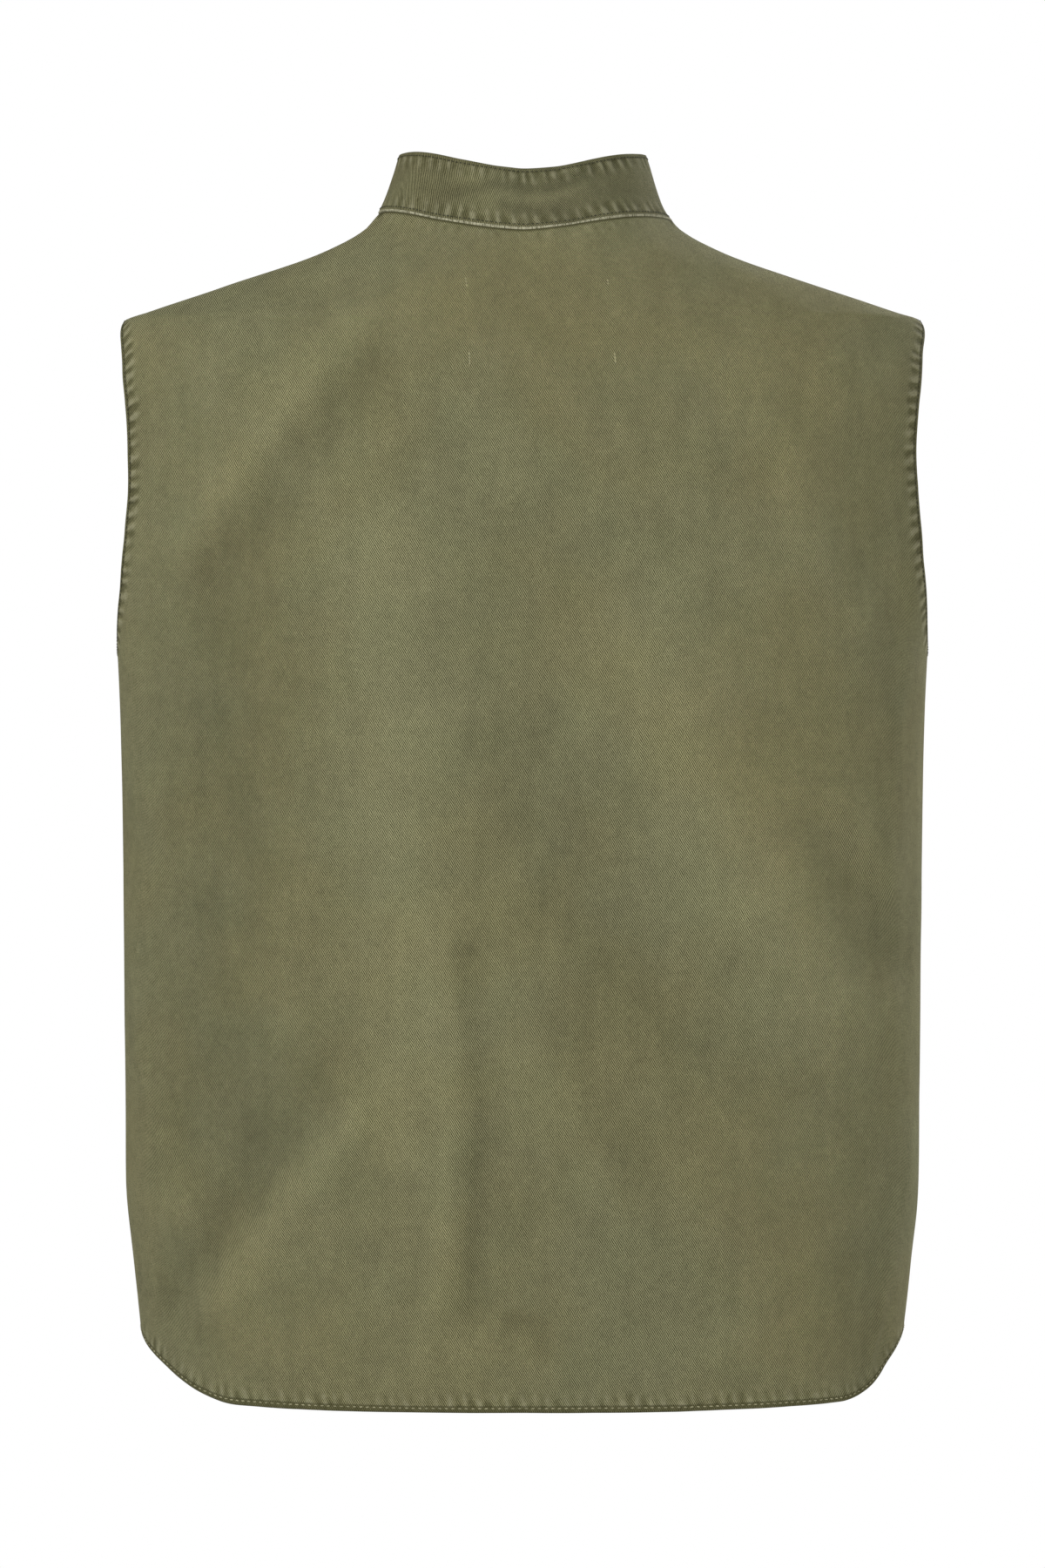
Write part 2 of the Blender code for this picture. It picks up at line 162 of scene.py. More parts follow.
# %% Floor
FLOOR_LEVEL = -1.15
FLOOR_RADIUS = 2.1  # it ends just below the photograph's frame, which shows no floor
FLOOR_SIDES = 96
FLOOR_COLOUR = (0.74, 0.74, 0.74, 1.0)
FLOOR_ROUGHNESS = 0.9


def add_floor():
    turns = [2 * math.pi * k / FLOOR_SIDES for k in range(FLOOR_SIDES)]
    edge = [(FLOOR_RADIUS * math.cos(t), FLOOR_RADIUS * math.sin(t), FLOOR_LEVEL) for t in turns]
    mesh = bpy.data.meshes.new("floor")
    mesh.from_pydata(edge, [], [tuple(range(FLOOR_SIDES))])
    paint = bpy.data.materials.new("floor_paint")
    paint.use_nodes = True
    surface = paint.node_tree.nodes["Principled BSDF"].inputs
    surface["Base Color"].default_value = FLOOR_COLOUR
    surface["Roughness"].default_value = FLOOR_ROUGHNESS
    mesh.materials.append(paint)
    linked("floor", mesh)


add_floor()
print("floor at", FLOOR_LEVEL, "m")

# %% [markdown]
# ## The shape of the body
#
# Filled out as worn, the vest is a stack of rings. Each ring is a squared ellipse, and a table
# gives its half width, its depth behind and in front, and how square it is. A smooth curve
# through the table gives every ring between. A mesh modelled by hand could look the same, but
# then the fronts, the back and the collar would have to be fitted to each other by eye.

# %% Table of the rings
SECTIONS = (
    # level, half width, back depth, front depth, squareness: all but the last in mm
    (0.0, 85.6, 62, 36, 2.00),
    (-5.0, 90.0, 63, 38, 2.00),
    (-8.2, 92.6, 64, 40, 2.00),
    (-14.5, 101.4, 66, 43, 2.00),
    (-20.7, 113.4, 69, 47, 2.02),
    (-27.0, 127.6, 72, 51, 2.04),
    (-39.4, 163.4, 79, 59, 2.08),
    (-52.0, 201.4, 86, 67, 2.12),
    (-60.0, 224.8, 90, 73, 2.14),
    (-64.4, 237.4, 92, 76, 2.15),
    (-82.0, 244.6, 97, 89, 2.20),
    (-110.0, 248.6, 102.5, 98, 2.25),
    (-150.0, 248.0, 109.0, 108, 2.30),
    (-200.0, 245.8, 114.0, 116.5, 2.36),
    (-240.0, 243.4, 116.2, 120.5, 2.40),
    (-262.0, 241.4, 116.9, 122, 2.41),
    (-300.0, 239.6, 117.6, 123.2, 2.42),
    (-340.0, 238.6, 118.2, 123, 2.42),
    (-520.0, 236.6, 119.6, 120.6, 2.42),
    (-574.0, 236.0, 119.8, 119.8, 2.42),
    (-626.0, 231.3, 119.6, 119, 2.42),
    (-664.0, 227.2, 119.2, 118.2, 2.42),
    (-700.0, 223.6, 118.6, 117.4, 2.42),
)
LEVEL, HALF_WIDTH, BACK_DEPTH, FRONT_DEPTH, SQUARENESS = range(5)
print(len(SECTIONS), "rings in the table")


# %% Points on a ring
def table_value(level, column):
    """One column of SECTIONS at the given levels, as a curve that never overshoots a row."""
    rows = np.array(SECTIONS[::-1], float)
    at, value = rows[:, LEVEL] * MM, rows[:, column]
    step, rise = np.diff(at), np.diff(value)
    chord = rise / step
    slope = np.zeros(len(at))
    for i in range(1, len(at) - 1):
        if chord[i - 1] * chord[i] > 0:
            before, after = 2 * step[i] + step[i - 1], step[i] + 2 * step[i - 1]
            slope[i] = (before + after) / (before / chord[i - 1] + after / chord[i])
    slope[0], slope[-1] = chord[0], chord[-1]
    z = np.clip(level, at[0], at[-1])
    i = np.clip(np.searchsorted(at, z) - 1, 0, len(step) - 1)
    t = (z - at[i]) / step[i]
    return (
        value[i] * (1 + 2 * t) * (1 - t) ** 2
        + slope[i] * step[i] * t * (1 - t) ** 2
        + value[i + 1] * t**2 * (3 - 2 * t)
        + slope[i + 1] * step[i] * t**2 * (t - 1)
    )


def half_width(level):
    return table_value(level, HALF_WIDTH) * MM


def signed_power(value, exponent):
    return np.sign(value) * np.abs(value) ** exponent


def ring_point(angle, level):
    """A point of the body. Angle 0 is the right side seam, 90 degrees the centre back."""
    power = 2 / table_value(level, SQUARENESS)
    back, front = table_value(level, BACK_DEPTH), table_value(level, FRONT_DEPTH)
    deep = np.where(np.sin(angle) > 0, back, front) * MM
    x = half_width(level) * signed_power(np.cos(angle), power)
    y = -deep * signed_power(np.sin(angle), power)
    return np.stack([x, y, np.broadcast_to(level, x.shape)], axis=-1)


def angle_at_x(x, level):
    """Angle between 0 and 90 degrees at which the ring at this level is x wide."""
    share = np.clip(x / half_width(level), 0, 1)
    return np.arccos(share ** (table_value(level, SQUARENESS) / 2))


print(f"chest half width {half_width(np.array(-0.11)) * 1000:.0f} mm")

# %% [markdown]
# ## Neckline, hem and armholes
#
# The cloth is cut along four lines: the neckline, the hem with its shirt-tail rise at the sides,
# the armholes and the seams. Rows of points run level round the body and bend to meet the
# neckline above and the hem below, so that each edge is a row or a column of the mesh.

# %% Lines that the cloth is cut along
SHOULDER_POINT = -64.4 * MM
ARMHOLE_BOTTOM = -262 * MM
HEM = -700 * MM
NECK_AT_SHOULDERS = -2.4 * MM
NECK_TILT = 2.2 * MM  # lower than that on the wearer's right, and higher on the left
NECK_AT_BACK = -15.2 * MM
NECK_AT_FRONT = -82 * MM
BACK_NECK_CURVE = 3.3
FRONT_NECK_CURVE = 1.45
ARMHOLE_BACK_DEPTH = 46 * MM
ARMHOLE_FRONT_DEPTH = 54 * MM
ARMHOLE_SQUARENESS = 2.3
HEM_RISE = 34.5 * MM
HEM_RISE_REACH = 104 * MM
HEM_REACH_TILT = 16 * MM
HEM_EASE = 2 * MM
HEM_EASE_REACH = 230 * MM
HEM_BLEND = 200 * MM
LAP = 15 * MM  # each front runs this far past the centre
LAP_LIFT = 3.3 * MM
LAP_RAMP = 34 * MM
print(f"body {(SHOULDER_POINT - HEM) * 1000:.0f} mm from shoulder point to hem")

# %% Neckline
NECK_STEPS = 1441


def neckline():
    """Arrays of angle and level along the neckline, round from centre front to centre front."""
    turn = np.radians(np.linspace(-90, 270, NECK_STEPS))
    behind, beside = np.abs(np.sin(turn)), np.cos(turn)
    shoulder = NECK_AT_SHOULDERS - NECK_TILT * beside**3
    back = shoulder + (NECK_AT_BACK - shoulder) * behind**BACK_NECK_CURVE
    front = shoulder + (NECK_AT_FRONT - shoulder) * behind**FRONT_NECK_CURVE
    level = np.where(np.sin(turn) > 0, back, front)
    from_side = angle_at_x(half_width(shoulder) * np.abs(beside), level)
    angle = np.where(np.sin(turn) > 0, from_side, -from_side)
    return np.where(beside >= 0, angle, math.pi - angle), level


NECK_ANGLES, NECK_LEVELS = neckline()


def neck_level(angle):
    """Height of the neckline at an angle, also a little past the centre front at either end."""
    turned = np.where(angle > 1.5 * math.pi, 3 * math.pi - angle, angle)
    turned = np.where(turned < -0.5 * math.pi, -math.pi - turned, turned)
    return np.interp(turned, NECK_ANGLES, NECK_LEVELS)


print(f"neckline from {NECK_LEVELS.max() * 1000:.1f} to {NECK_LEVELS.min() * 1000:.1f} mm")

# %% Hem, and rows between neckline and hem
QUARTER_STEPS = 361


def cosine_rise(along, reach):
    return 0.5 * (1 + np.cos(math.pi * np.minimum(along / reach, 1)))


def hem_rise(angle):
    """How much the hem is cut away towards the side seams."""
    fine = np.radians(np.linspace(0, 90, QUARTER_STEPS))
    line = ring_point(fine, np.full(fine.shape, HEM + HEM_RISE / 2))
    arc = np.concatenate([[0], np.cumsum(np.linalg.norm(np.diff(line, axis=0), axis=1))])
    to_seam = np.abs(np.arcsin(np.clip(np.sin(angle), -1, 1)))
    along = np.interp(to_seam, fine, arc)
    reach = HEM_RISE_REACH - HEM_REACH_TILT * np.cos(angle)
    return HEM_RISE * cosine_rise(along, reach) + HEM_EASE * cosine_rise(along, HEM_EASE_REACH)


def wall_level(row_level, angle):
    """Level of a point in a row: level in the middle, bent to the neckline and the hem."""
    above_point = np.clip(1 - row_level / SHOULDER_POINT, 0, 1) ** 2
    above_armhole = np.clip(1 - row_level / ARMHOLE_BOTTOM, 0, 1) ** 2
    near_hem = np.clip(1 - (row_level - HEM) / HEM_BLEND, 0, 1) ** 2
    end = NECK_AT_SHOULDERS - NECK_TILT * np.cos(angle)
    level = row_level + end * above_point + (neck_level(angle) - end) * above_armhole
    return level + hem_rise(angle) * near_hem


print(f"hem rises {hem_rise(np.array(0.0)) * 1000:.0f} mm at the right side seam")


# %% Sides of the panels
def edge_angle(level, armhole_depth, depth_column):
    """How far round the ring the armhole has cut, from the side."""
    down = np.clip((level - SHOULDER_POINT) / (ARMHOLE_BOTTOM - SHOULDER_POINT), 0, 1)
    cut = armhole_depth * np.sqrt(1 - np.abs(1 - 2 * down) ** ARMHOLE_SQUARENESS)
    share = cut / (table_value(level, depth_column) * MM)
    return np.arcsin(share ** (table_value(level, SQUARENESS) / 2))


def back_right_edge(level):
    return edge_angle(level, ARMHOLE_BACK_DEPTH, BACK_DEPTH)


def back_left_edge(level):
    return math.pi - back_right_edge(level)


def right_front_side(level):
    return -edge_angle(level, ARMHOLE_FRONT_DEPTH, FRONT_DEPTH)


def right_front_centre(level):
    return angle_at_x(LAP, level) - math.pi


def left_front_centre(level):
    return math.pi - right_front_centre(level)


def left_front_side(level):
    return math.pi - right_front_side(level)


lap_angle = np.degrees(right_front_centre(np.array(HEM)))
print(f"the right front ends at {lap_angle:.0f} degrees")

# %% [markdown]
# ## Folds
#
# Soft canvas that hangs on a body shows a few broad hollows and ridges and, over them, finer
# creases. A cloth simulation could find folds, but not these folds. So each one is listed as a
# line across the cloth with a height and a width. A little seeded noise breaks up the smooth
# surface between them, as washing does.

# %% Folds of the back and the fronts
BACK_FOLDS = (
    # height, width and path as (x, level), all in mm
    (-5.0, 40, ((-172, -235), (-180, -390), (-186, -540))),
    (4.6, 36, ((-76, -215), (-72, -390), (-60, -490))),
    (3.0, 10, ((-46, -430), (-40, -540), (-47, -640))),
    (-3.4, 8, ((-29, -440), (-20, -540), (-27, -640))),
    (-2.5, 26, ((2, -330), (46, -440), (100, -500))),
    (4.6, 38, ((76, -265), (112, -365), (176, -470))),
    (-4.0, 18, ((-106, -500), (-158, -568), (-204, -640))),
    (4.6, 14, ((-98, -540), (-132, -580), (-176, -640))),
    (3.2, 22, ((-70, -520), (-64, -556))),
    (2.0, 15, ((4, -505), (60, -590))),
    (-2.4, 15, ((26, -480), (58, -540), (76, -600))),
    (4.4, 15, ((-96, -78), (-150, -140), (-200, -206))),
    (-3.8, 15, ((-84, -98), (-132, -156), (-176, -222))),
    (2.0, 15, ((124, -100), (192, -240))),
    (-2.8, 16, ((170, -366), (200, -416), (220, -446))),
    (2.0, 12, ((180, -350), (214, -400))),
    (-4.2, 6, ((-4, -650), (10, -653), (16, -668))),
    (-3.0, 22, ((196, -620), (214, -680))),
    (1.3, 3, ((214, -640), (212, -655), (205, -682))),
    (0.9, 2.5, ((-31.5, -45), (-30, -97))),
    (0.8, 2.5, ((52, -45), (53.5, -97))),
)
FRONT_FOLDS = (
    (4.0, 18, ((-96, -96), (-150, -160), (-198, -226))),
    (-3.0, 17, ((-76, -120), (-128, -190), (-170, -240))),
    (3.5, 18, ((100, -100), (160, -176), (200, -236))),
    (-3.0, 16, ((82, -126), (130, -196), (168, -250))),
    (5.0, 32, ((-118, -262), (-128, -420), (-120, -560))),
    (-5.5, 30, ((-176, -330), (-188, -470), (-180, -600))),
    (5.0, 34, ((112, -250), (124, -400), (136, -540))),
    (-5.0, 30, ((62, -360), (70, -480), (64, -590))),
    (4.5, 26, ((186, -420), (170, -540), (150, -640))),
    (-3.5, 22, ((-60, -470), (-84, -560), (-112, -640))),
)
print(len(BACK_FOLDS), "folds on the back,", len(FRONT_FOLDS), "on the fronts")

# %% Relief of the folds and the crumples
FOLD_FADE = 36 * MM  # the folds die away towards the side and shoulder seams
CRUMPLES = ((2.2 * MM, 52 * MM, 11), (0.9 * MM, 23 * MM, 12), (0.2 * MM, 10 * MM, 13))
NOISE_CELLS = 64


def fold_relief(x, level, folds):
    """Sum of the folds at points given across and up the cloth."""
    total = np.zeros(np.shape(x))
    for stand_out, width, path in folds:
        nearest = np.full(np.shape(x), np.inf)
        for (x0, z0), (x1, z1) in zip(path, path[1:]):
            ax, az, bx, bz = x0 * MM, z0 * MM, x1 * MM, z1 * MM
            along = (x - ax) * (bx - ax) + (level - az) * (bz - az)
            t = np.clip(along / ((bx - ax) ** 2 + (bz - az) ** 2), 0, 1)
            away = np.hypot(x - ax - t * (bx - ax), level - az - t * (bz - az))
            nearest = np.minimum(nearest, away)
        total += stand_out * MM * np.exp(-((nearest / (width * MM)) ** 2))
    return total


def soft_noise(across, up, size, seed):
    """Smooth seeded noise from -1 to 1 whose bumps are about size apart."""
    cells = np.random.default_rng(seed).uniform(-1, 1, (NOISE_CELLS, NOISE_CELLS))
    a, b = across / size, up / size
    i, j = np.floor(a).astype(int), np.floor(b).astype(int)
    s, t = a - i, b - j
    s, t = s * s * (3 - 2 * s), t * t * (3 - 2 * t)
    left, right, low, high = (n % NOISE_CELLS for n in (i, i + 1, j, j + 1))
    below = cells[left, low] * (1 - s) + cells[right, low] * s
    above = cells[left, high] * (1 - s) + cells[right, high] * s
    return below * (1 - t) + above * t


def crumple(across, up, crumples):
    return sum(high * soft_noise(across, up, size, seed) for high, size, seed in crumples)


print("crumples of", ", ".join(f"{size / MM:.0f} mm" for _, size, _ in CRUMPLES))

# %% [markdown]
# ## From rows of points to cloth
#
# A panel is a grid of points on its outer face. Its rows lie closer where the outline turns
# sharply. A subdivided plane could be bent to the same shape, but its edges would then not fall
# on rows and columns, and the turned hems and the stitches need them to.

# %% Grid of a panel
HEM_ROWS = 10
BODY_ROWS = 110
ARMHOLE_ROWS = 130
SHOULDER_ROWS = 30
ROW_SQUEEZE = 0.75  # rows lie closer at both ends of the armhole, where its edge turns
ROW_EASE = 1.4
HEM_BAND = 14 * MM
BACK_COLUMNS = 260
FRONT_COLUMNS = 124
COLUMN_SQUEEZE = 0.3
FINE_STEPS = 1200
EDGE_ROUNDS = 20


def squeezed(share, squeeze):
    """Even shares from 0 to 1 drawn towards both ends."""
    return share - squeeze * np.sin(2 * math.pi * share) / (2 * math.pi)


def row_levels():
    hem = np.linspace(HEM, HEM + HEM_BAND, HEM_ROWS + 1)
    body = np.linspace(hem[-1], ARMHOLE_BOTTOM, BODY_ROWS + 1)[1:]
    turn = squeezed(np.linspace(0, 1, ARMHOLE_ROWS + 1)[1:], ROW_SQUEEZE)
    armhole = ARMHOLE_BOTTOM + (SHOULDER_POINT - ARMHOLE_BOTTOM) * turn
    shoulder = SHOULDER_POINT * (1 - np.linspace(0, 1, SHOULDER_ROWS + 1)[1:] ** ROW_EASE)
    return np.concatenate([hem, body, armhole, shoulder])


def edge_of_rows(rows, edge):
    angle = edge(rows)
    for _ in range(EDGE_ROUNDS):  # a row's level depends on the angle, and the edge on the level
        angle = edge(wall_level(rows, angle))
    return angle


def normals(grid):
    across, up = np.gradient(grid, axis=1), np.gradient(grid, axis=0)
    normal = np.cross(across, up)
    return normal / np.linalg.norm(normal, axis=-1, keepdims=True)


def plain_grid(first_edge, last_edge, columns):
    """Points on the rings between two edges, and the metres along each row from the centre."""
    share = squeezed(np.linspace(0, 1, columns + 1), COLUMN_SQUEEZE)
    rows = row_levels()
    starts, ends = edge_of_rows(rows, first_edge), edge_of_rows(rows, last_edge)
    grid = np.empty((len(rows), columns + 1, 3))
    across = np.empty((len(rows), columns + 1))
    for j, row in enumerate(rows):
        fine = np.linspace(starts[j], ends[j], FINE_STEPS)
        line = ring_point(fine, wall_level(row, fine))
        steps = np.linalg.norm(np.diff(line, axis=0), axis=1)
        along = np.concatenate([[0], np.cumsum(steps)])
        angle = np.interp(share * along[-1], along, fine)
        grid[j] = ring_point(angle, wall_level(row, angle))
        toward = np.sign(line[-1, 0] - line[0, 0])
        middle = np.interp(0, toward * line[:, 0], along)
        across[j] = share * along[-1] - middle
    return grid, across


print("rows in a panel:", len(row_levels()))

# %% [markdown]
# ## The flat cloth
#
# A real panel is cut flat, and its weave runs straight up it. So each panel gets a cloth map: where
# each of its points lay on the flat cloth, in metres. Blender could unwrap the mesh, but an unwrap
# turns and scales the cloth as it likes. This map starts from lengths along the rows and columns.
# It is then eased, far points first, until neighbours are as far apart as they are on the body.

# %% Lengths over the cloth
LOW, HIGH, ALL = slice(None, -1), slice(1, None), slice(None)
LINKS = (((ALL, LOW), (ALL, HIGH)), ((LOW, ALL), (HIGH, ALL)),
         ((LOW, LOW), (HIGH, HIGH)), ((LOW, HIGH), (HIGH, LOW)))


def metres_up(grid, across):
    """Metres up the cloth: what is left of each step between rows after its step across."""
    step = np.linalg.norm(np.diff(grid, axis=0), axis=-1)
    rise = np.sqrt(np.maximum(step**2 - np.diff(across, axis=0) ** 2, 0))
    return grid[0, :, 2] + np.concatenate([np.zeros((1, grid.shape[1])), np.cumsum(rise, axis=0)])


def picked(length, skip):
    return np.round(np.linspace(0, length - 1, (length - 1) // skip + 1)).astype(int)


def cloth_lengths(grid, rows, columns):
    """Metres over the cloth between the points picked, one array for each kind of LINKS."""
    run = np.linalg.norm(np.diff(grid, axis=1, prepend=grid[:, :1]), axis=-1).cumsum(axis=1)
    rise = np.linalg.norm(np.diff(grid, axis=0, prepend=grid[:1]), axis=-1).cumsum(axis=0)
    picks = np.ix_(rows, columns)
    across, up = np.diff(run[picks], axis=1), np.diff(rise[picks], axis=0)
    straight = [np.linalg.norm(grid[picks][b] - grid[picks][a], axis=-1) for a, b in LINKS]
    bow = np.hypot(across[:-1], up[:, :-1]) / np.hypot(straight[0][:-1], straight[1][:, :-1])
    return across, up, straight[2] * bow, straight[3] * bow


print("links from a point to its neighbours:", 2 * len(LINKS))

# %% Ease the cloth flat
FLATTEN_ROUNDS = ((16, 400), (8, 300), (4, 200), (2, 100))  # points skipped, and rounds
FLATTEN_HASTE = 1.5


def pulls(flat, lengths):
    """How each point should move so that its neighbours lie as far off as on the cloth."""
    move, count = np.zeros_like(flat), np.zeros(flat.shape[:2])
    for (one, other), should_be in zip(LINKS, lengths):
        gap = flat[other] - flat[one]
        is_long = np.maximum(np.linalg.norm(gap, axis=-1), TINY)
        pull = gap * (0.5 * (is_long - should_be) / is_long)[..., None]
        move[one] += pull
        move[other] -= pull
        count[one] += 1
        count[other] += 1
    return move / count[..., None]


def between(values, rows, columns, shape):
    """Values known at some rows and columns of a grid, spread linearly over all of it."""
    tall = np.stack([[np.interp(range(shape[0]), rows, values[:, i, k]) for k in range(2)]
                     for i in range(values.shape[1])])
    return np.stack([[np.interp(range(shape[1]), columns, tall[:, k, j]) for k in range(2)]
                     for j in range(shape[0])]).transpose(0, 2, 1)


def laid_flat(cloth_map, grid):
    """The map eased, far points first, until its distances are those of the cloth in space."""
    middle = (HEM_ROWS + BODY_ROWS, grid.shape[1] // 2)
    flat = cloth_map.copy()
    for skip, rounds in FLATTEN_ROUNDS:
        rows, columns = picked(grid.shape[0], skip), picked(grid.shape[1], skip)
        some, lengths = flat[np.ix_(rows, columns)], cloth_lengths(grid, rows, columns)
        eased = some.copy()
        for _ in range(rounds):
            eased += FLATTEN_HASTE * pulls(eased, lengths)
        flat += between(eased - some, rows, columns, grid.shape)
    return flat + cloth_map[middle] - flat[middle]


print("rounds of easing:", sum(rounds for _, rounds in FLATTEN_ROUNDS))

# %% [markdown]
# A second map measures metres along the nearest finished edge and away from it. With it come
# three numbers that say how that kind of edge is puckered, stitched, worn and painted with shade.
# Painting the edges by hand would do for one picture, but the maps fit every panel and every view.

# %% Kinds of edge and the edge map
EDGE_KINDS = {
    # pucker, stitched band with painted shade, and painted crease shadow (or, below 0, a pale
    # ridge) at the very edge
    "hem": (0.8, 1.0, 0.0),
    "armhole": (2.0, 0.8, 0.0),
    "neck": (0.45, 0.0, 1.0),
    "placket": (0.3, 0.55, 0.0),
    "collar_foot": (1.1, 0.25, -1.0),
    "collar_top": (1.0, 0.4, 0.0),
    "collar_end": (0.6, 0.35, 0.0),
}
EDGE_POINT_SPACING = 0.4 * MM


def evenly(line, spacing):
    """The same line with its points evenly spaced, and the metres along it."""
    steps = np.linalg.norm(np.diff(line, axis=0), axis=1)
    along = np.concatenate([[0], np.cumsum(steps)])
    count = max(int(along[-1] / spacing), 2)
    at = np.linspace(0, along[-1], count + 1)
    columns = [np.interp(at, along, line[:, k]) for k in range(line.shape[1])]
    return np.stack(columns, axis=-1), at


def edge_map(cloth_map, edges):
    """Metres along and away from the nearest finished edge, and that edge's row of EDGE_KINDS."""
    lines = [(evenly(line, EDGE_POINT_SPACING), EDGE_KINDS[kind]) for line, kind in edges]
    tree = KDTree(sum(len(points) for (points, _), _ in lines))
    along, kinds = [], []
    for number, (line, kind) in enumerate(lines):
        for point, metres in zip(*line):
            tree.insert((point[0], point[1], 0), len(along))
            along.append(metres + number)
            kinds.append(kind)
    tree.balance()
    found = [tree.find((u, v, 0)) for u, v in cloth_map.reshape(-1, 2)]
    nearest = np.array([index for _, index, _ in found])
    away = np.array([distance for _, _, distance in found])
    edge = np.stack([np.array(along)[nearest], away], axis=-1)
    rows, columns = cloth_map.shape[:2]
    return edge.reshape(rows, columns, 2), np.array(kinds)[nearest].reshape(rows, columns, 3)


print("kinds of edge:", ", ".join(EDGE_KINDS))

# %% [markdown]
# The grid becomes a closed wall of cloth. Solidify could give it thickness, but a fine panel would
# then have twice the faces it needs. So the inner face takes every second point, and a rounded rim
# joins the two faces where the cloth is folded over.

# %% Faces of a wall of cloth
def around(rows, columns):
    """Index pairs of a grid's border, counterclockwise from its lower left corner."""
    return (
        [(0, i) for i in range(columns - 1)]
        + [(j, columns - 1) for j in range(rows - 1)]
        + [(rows - 1, i) for i in range(columns - 1, 0, -1)]
        + [(j, 0) for j in range(rows - 1, 0, -1)]
    )


def quads(rows, columns, first=0, turned=False):
    index = first + np.arange(rows * columns).reshape(rows, columns)
    corners = [index[:-1, :-1], index[:-1, 1:], index[1:, 1:], index[1:, :-1]]
    faces = np.stack(corners, axis=-1).reshape(-1, 4)
    return faces[:, ::-1] if turned else faces


def wall_faces(rows, columns):
    """Faces of the outer side, of the coarser inner side and of the rim between them."""
    border = around(rows, columns)
    half_rows, half_columns = (rows + 1) // 2, (columns + 1) // 2
    inner_first = rows * columns
    rim_first = inner_first + half_rows * half_columns
    faces = quads(rows, columns).tolist()
    faces += quads(half_rows, half_columns, inner_first, turned=True).tolist()
    count = len(border)
    outer_at = [j * columns + i for j, i in border]
    inner_at = [inner_first + (j // 2) * half_columns + i // 2 for j, i in border]
    for k in range(count):
        after = (k + 1) % count
        faces.append((outer_at[after], outer_at[k], rim_first + k, rim_first + after))
    for k in range(0, count, 2):
        middle, after = k + 1, (k + 2) % count
        faces.append((rim_first + middle, rim_first + k, inner_at[k]))
        faces.append((rim_first + middle, inner_at[k], inner_at[after]))
        faces.append((rim_first + after, rim_first + middle, inner_at[after]))
    return faces


print("faces of a wall of 5 by 5 points:", len(wall_faces(5, 5)))

# %% Mesh of a panel
CLOTH = 1.4 * MM
RIM_BULGE = 0.32  # how far a folded edge swells past the points, as a share of its thickness


def away_from_cloth(grid):
    """At each border point, the direction in the cloth that points past its edge."""
    out = np.zeros_like(grid)
    out[0] += grid[0] - grid[1]
    out[-1] += grid[-1] - grid[-2]
    out[:, 0] += grid[:, 0] - grid[:, 1]
    out[:, -1] += grid[:, -1] - grid[:, -2]
    length = np.linalg.norm(out, axis=-1, keepdims=True)
    return out / np.maximum(length, TINY)


def two_faced_mesh(name, grid, thickness, folded, maps, told, finish):
    """A closed wall of cloth. folded is 1 where the border is a folded edge and 0 at a seam."""
    rows, columns = grid.shape[:2]
    border = around(rows, columns)
    normal, past = normals(grid), away_from_cloth(grid)
    rim = [grid[p] - normal[p] * thickness[p] / 2 + past[p] * thickness[p] * RIM_BULGE * folded[p]
           for p in border]

    def everywhere(outer, inner, rim):
        size = outer.shape[-1]
        return np.concatenate([outer.reshape(-1, size), inner.reshape(-1, size), rim])

    def told_everywhere(value):
        return everywhere(value, value[::2, ::2], [value[p] for p in border])

    inner = (grid - normal * thickness[..., None])[::2, ::2]
    mesh = bpy.data.meshes.new(name)
    mesh.from_pydata(everywhere(grid, inner, rim).tolist(), [], wall_faces(rows, columns))
    corner_vertex = np.empty(len(mesh.loops), int)
    mesh.loops.foreach_get("vertex_index", corner_vertex)
    for map_name, value in maps.items():
        layer = mesh.uv_layers.new(name=map_name)
        layer.data.foreach_set("uv", told_everywhere(value)[corner_vertex].ravel())
    for told_name, value in told.items():
        layer = mesh.attributes.new(told_name, "FLOAT_VECTOR", "POINT")
        layer.data.foreach_set("vector", told_everywhere(value).ravel())
    mesh.materials.append(finish)
    mesh.shade_smooth()
    return linked(name, mesh)


print(f"cloth {CLOTH / MM:.1f} mm thick")

# %% [markdown]
# ## The washed twill
#
# The canvas is a cotton twill that has been dyed olive and washed. Seen close, pale ridges run
# down to the right between dark furrows, whose shade is painted into the colour. Edges and seams
# have worn pale where they stand proud. Shade is painted beside them: in the puckers' hollows,
# along the stitched bands and in the crease under the collar. The folds, too, are painted paler
# on their ridges and darker in their hollows. A picture of cloth could be laid on, but it would
# blur or repeat. Here the weave, the puckers, the wear and the painted shade are worked out from
# the two maps.

# %% Helpers for material nodes
def add_node(tree, kind, settings=(), **sockets):
    """A node with some of its settings and sockets. A socket's spaces are written as _."""
    node = tree.nodes.new(kind)
    for key, value in dict(settings).items():
        setattr(node, key, value)
    for key, value in sockets.items():
        plug(tree, node.inputs[key.replace("_", " ")], value)
    return node


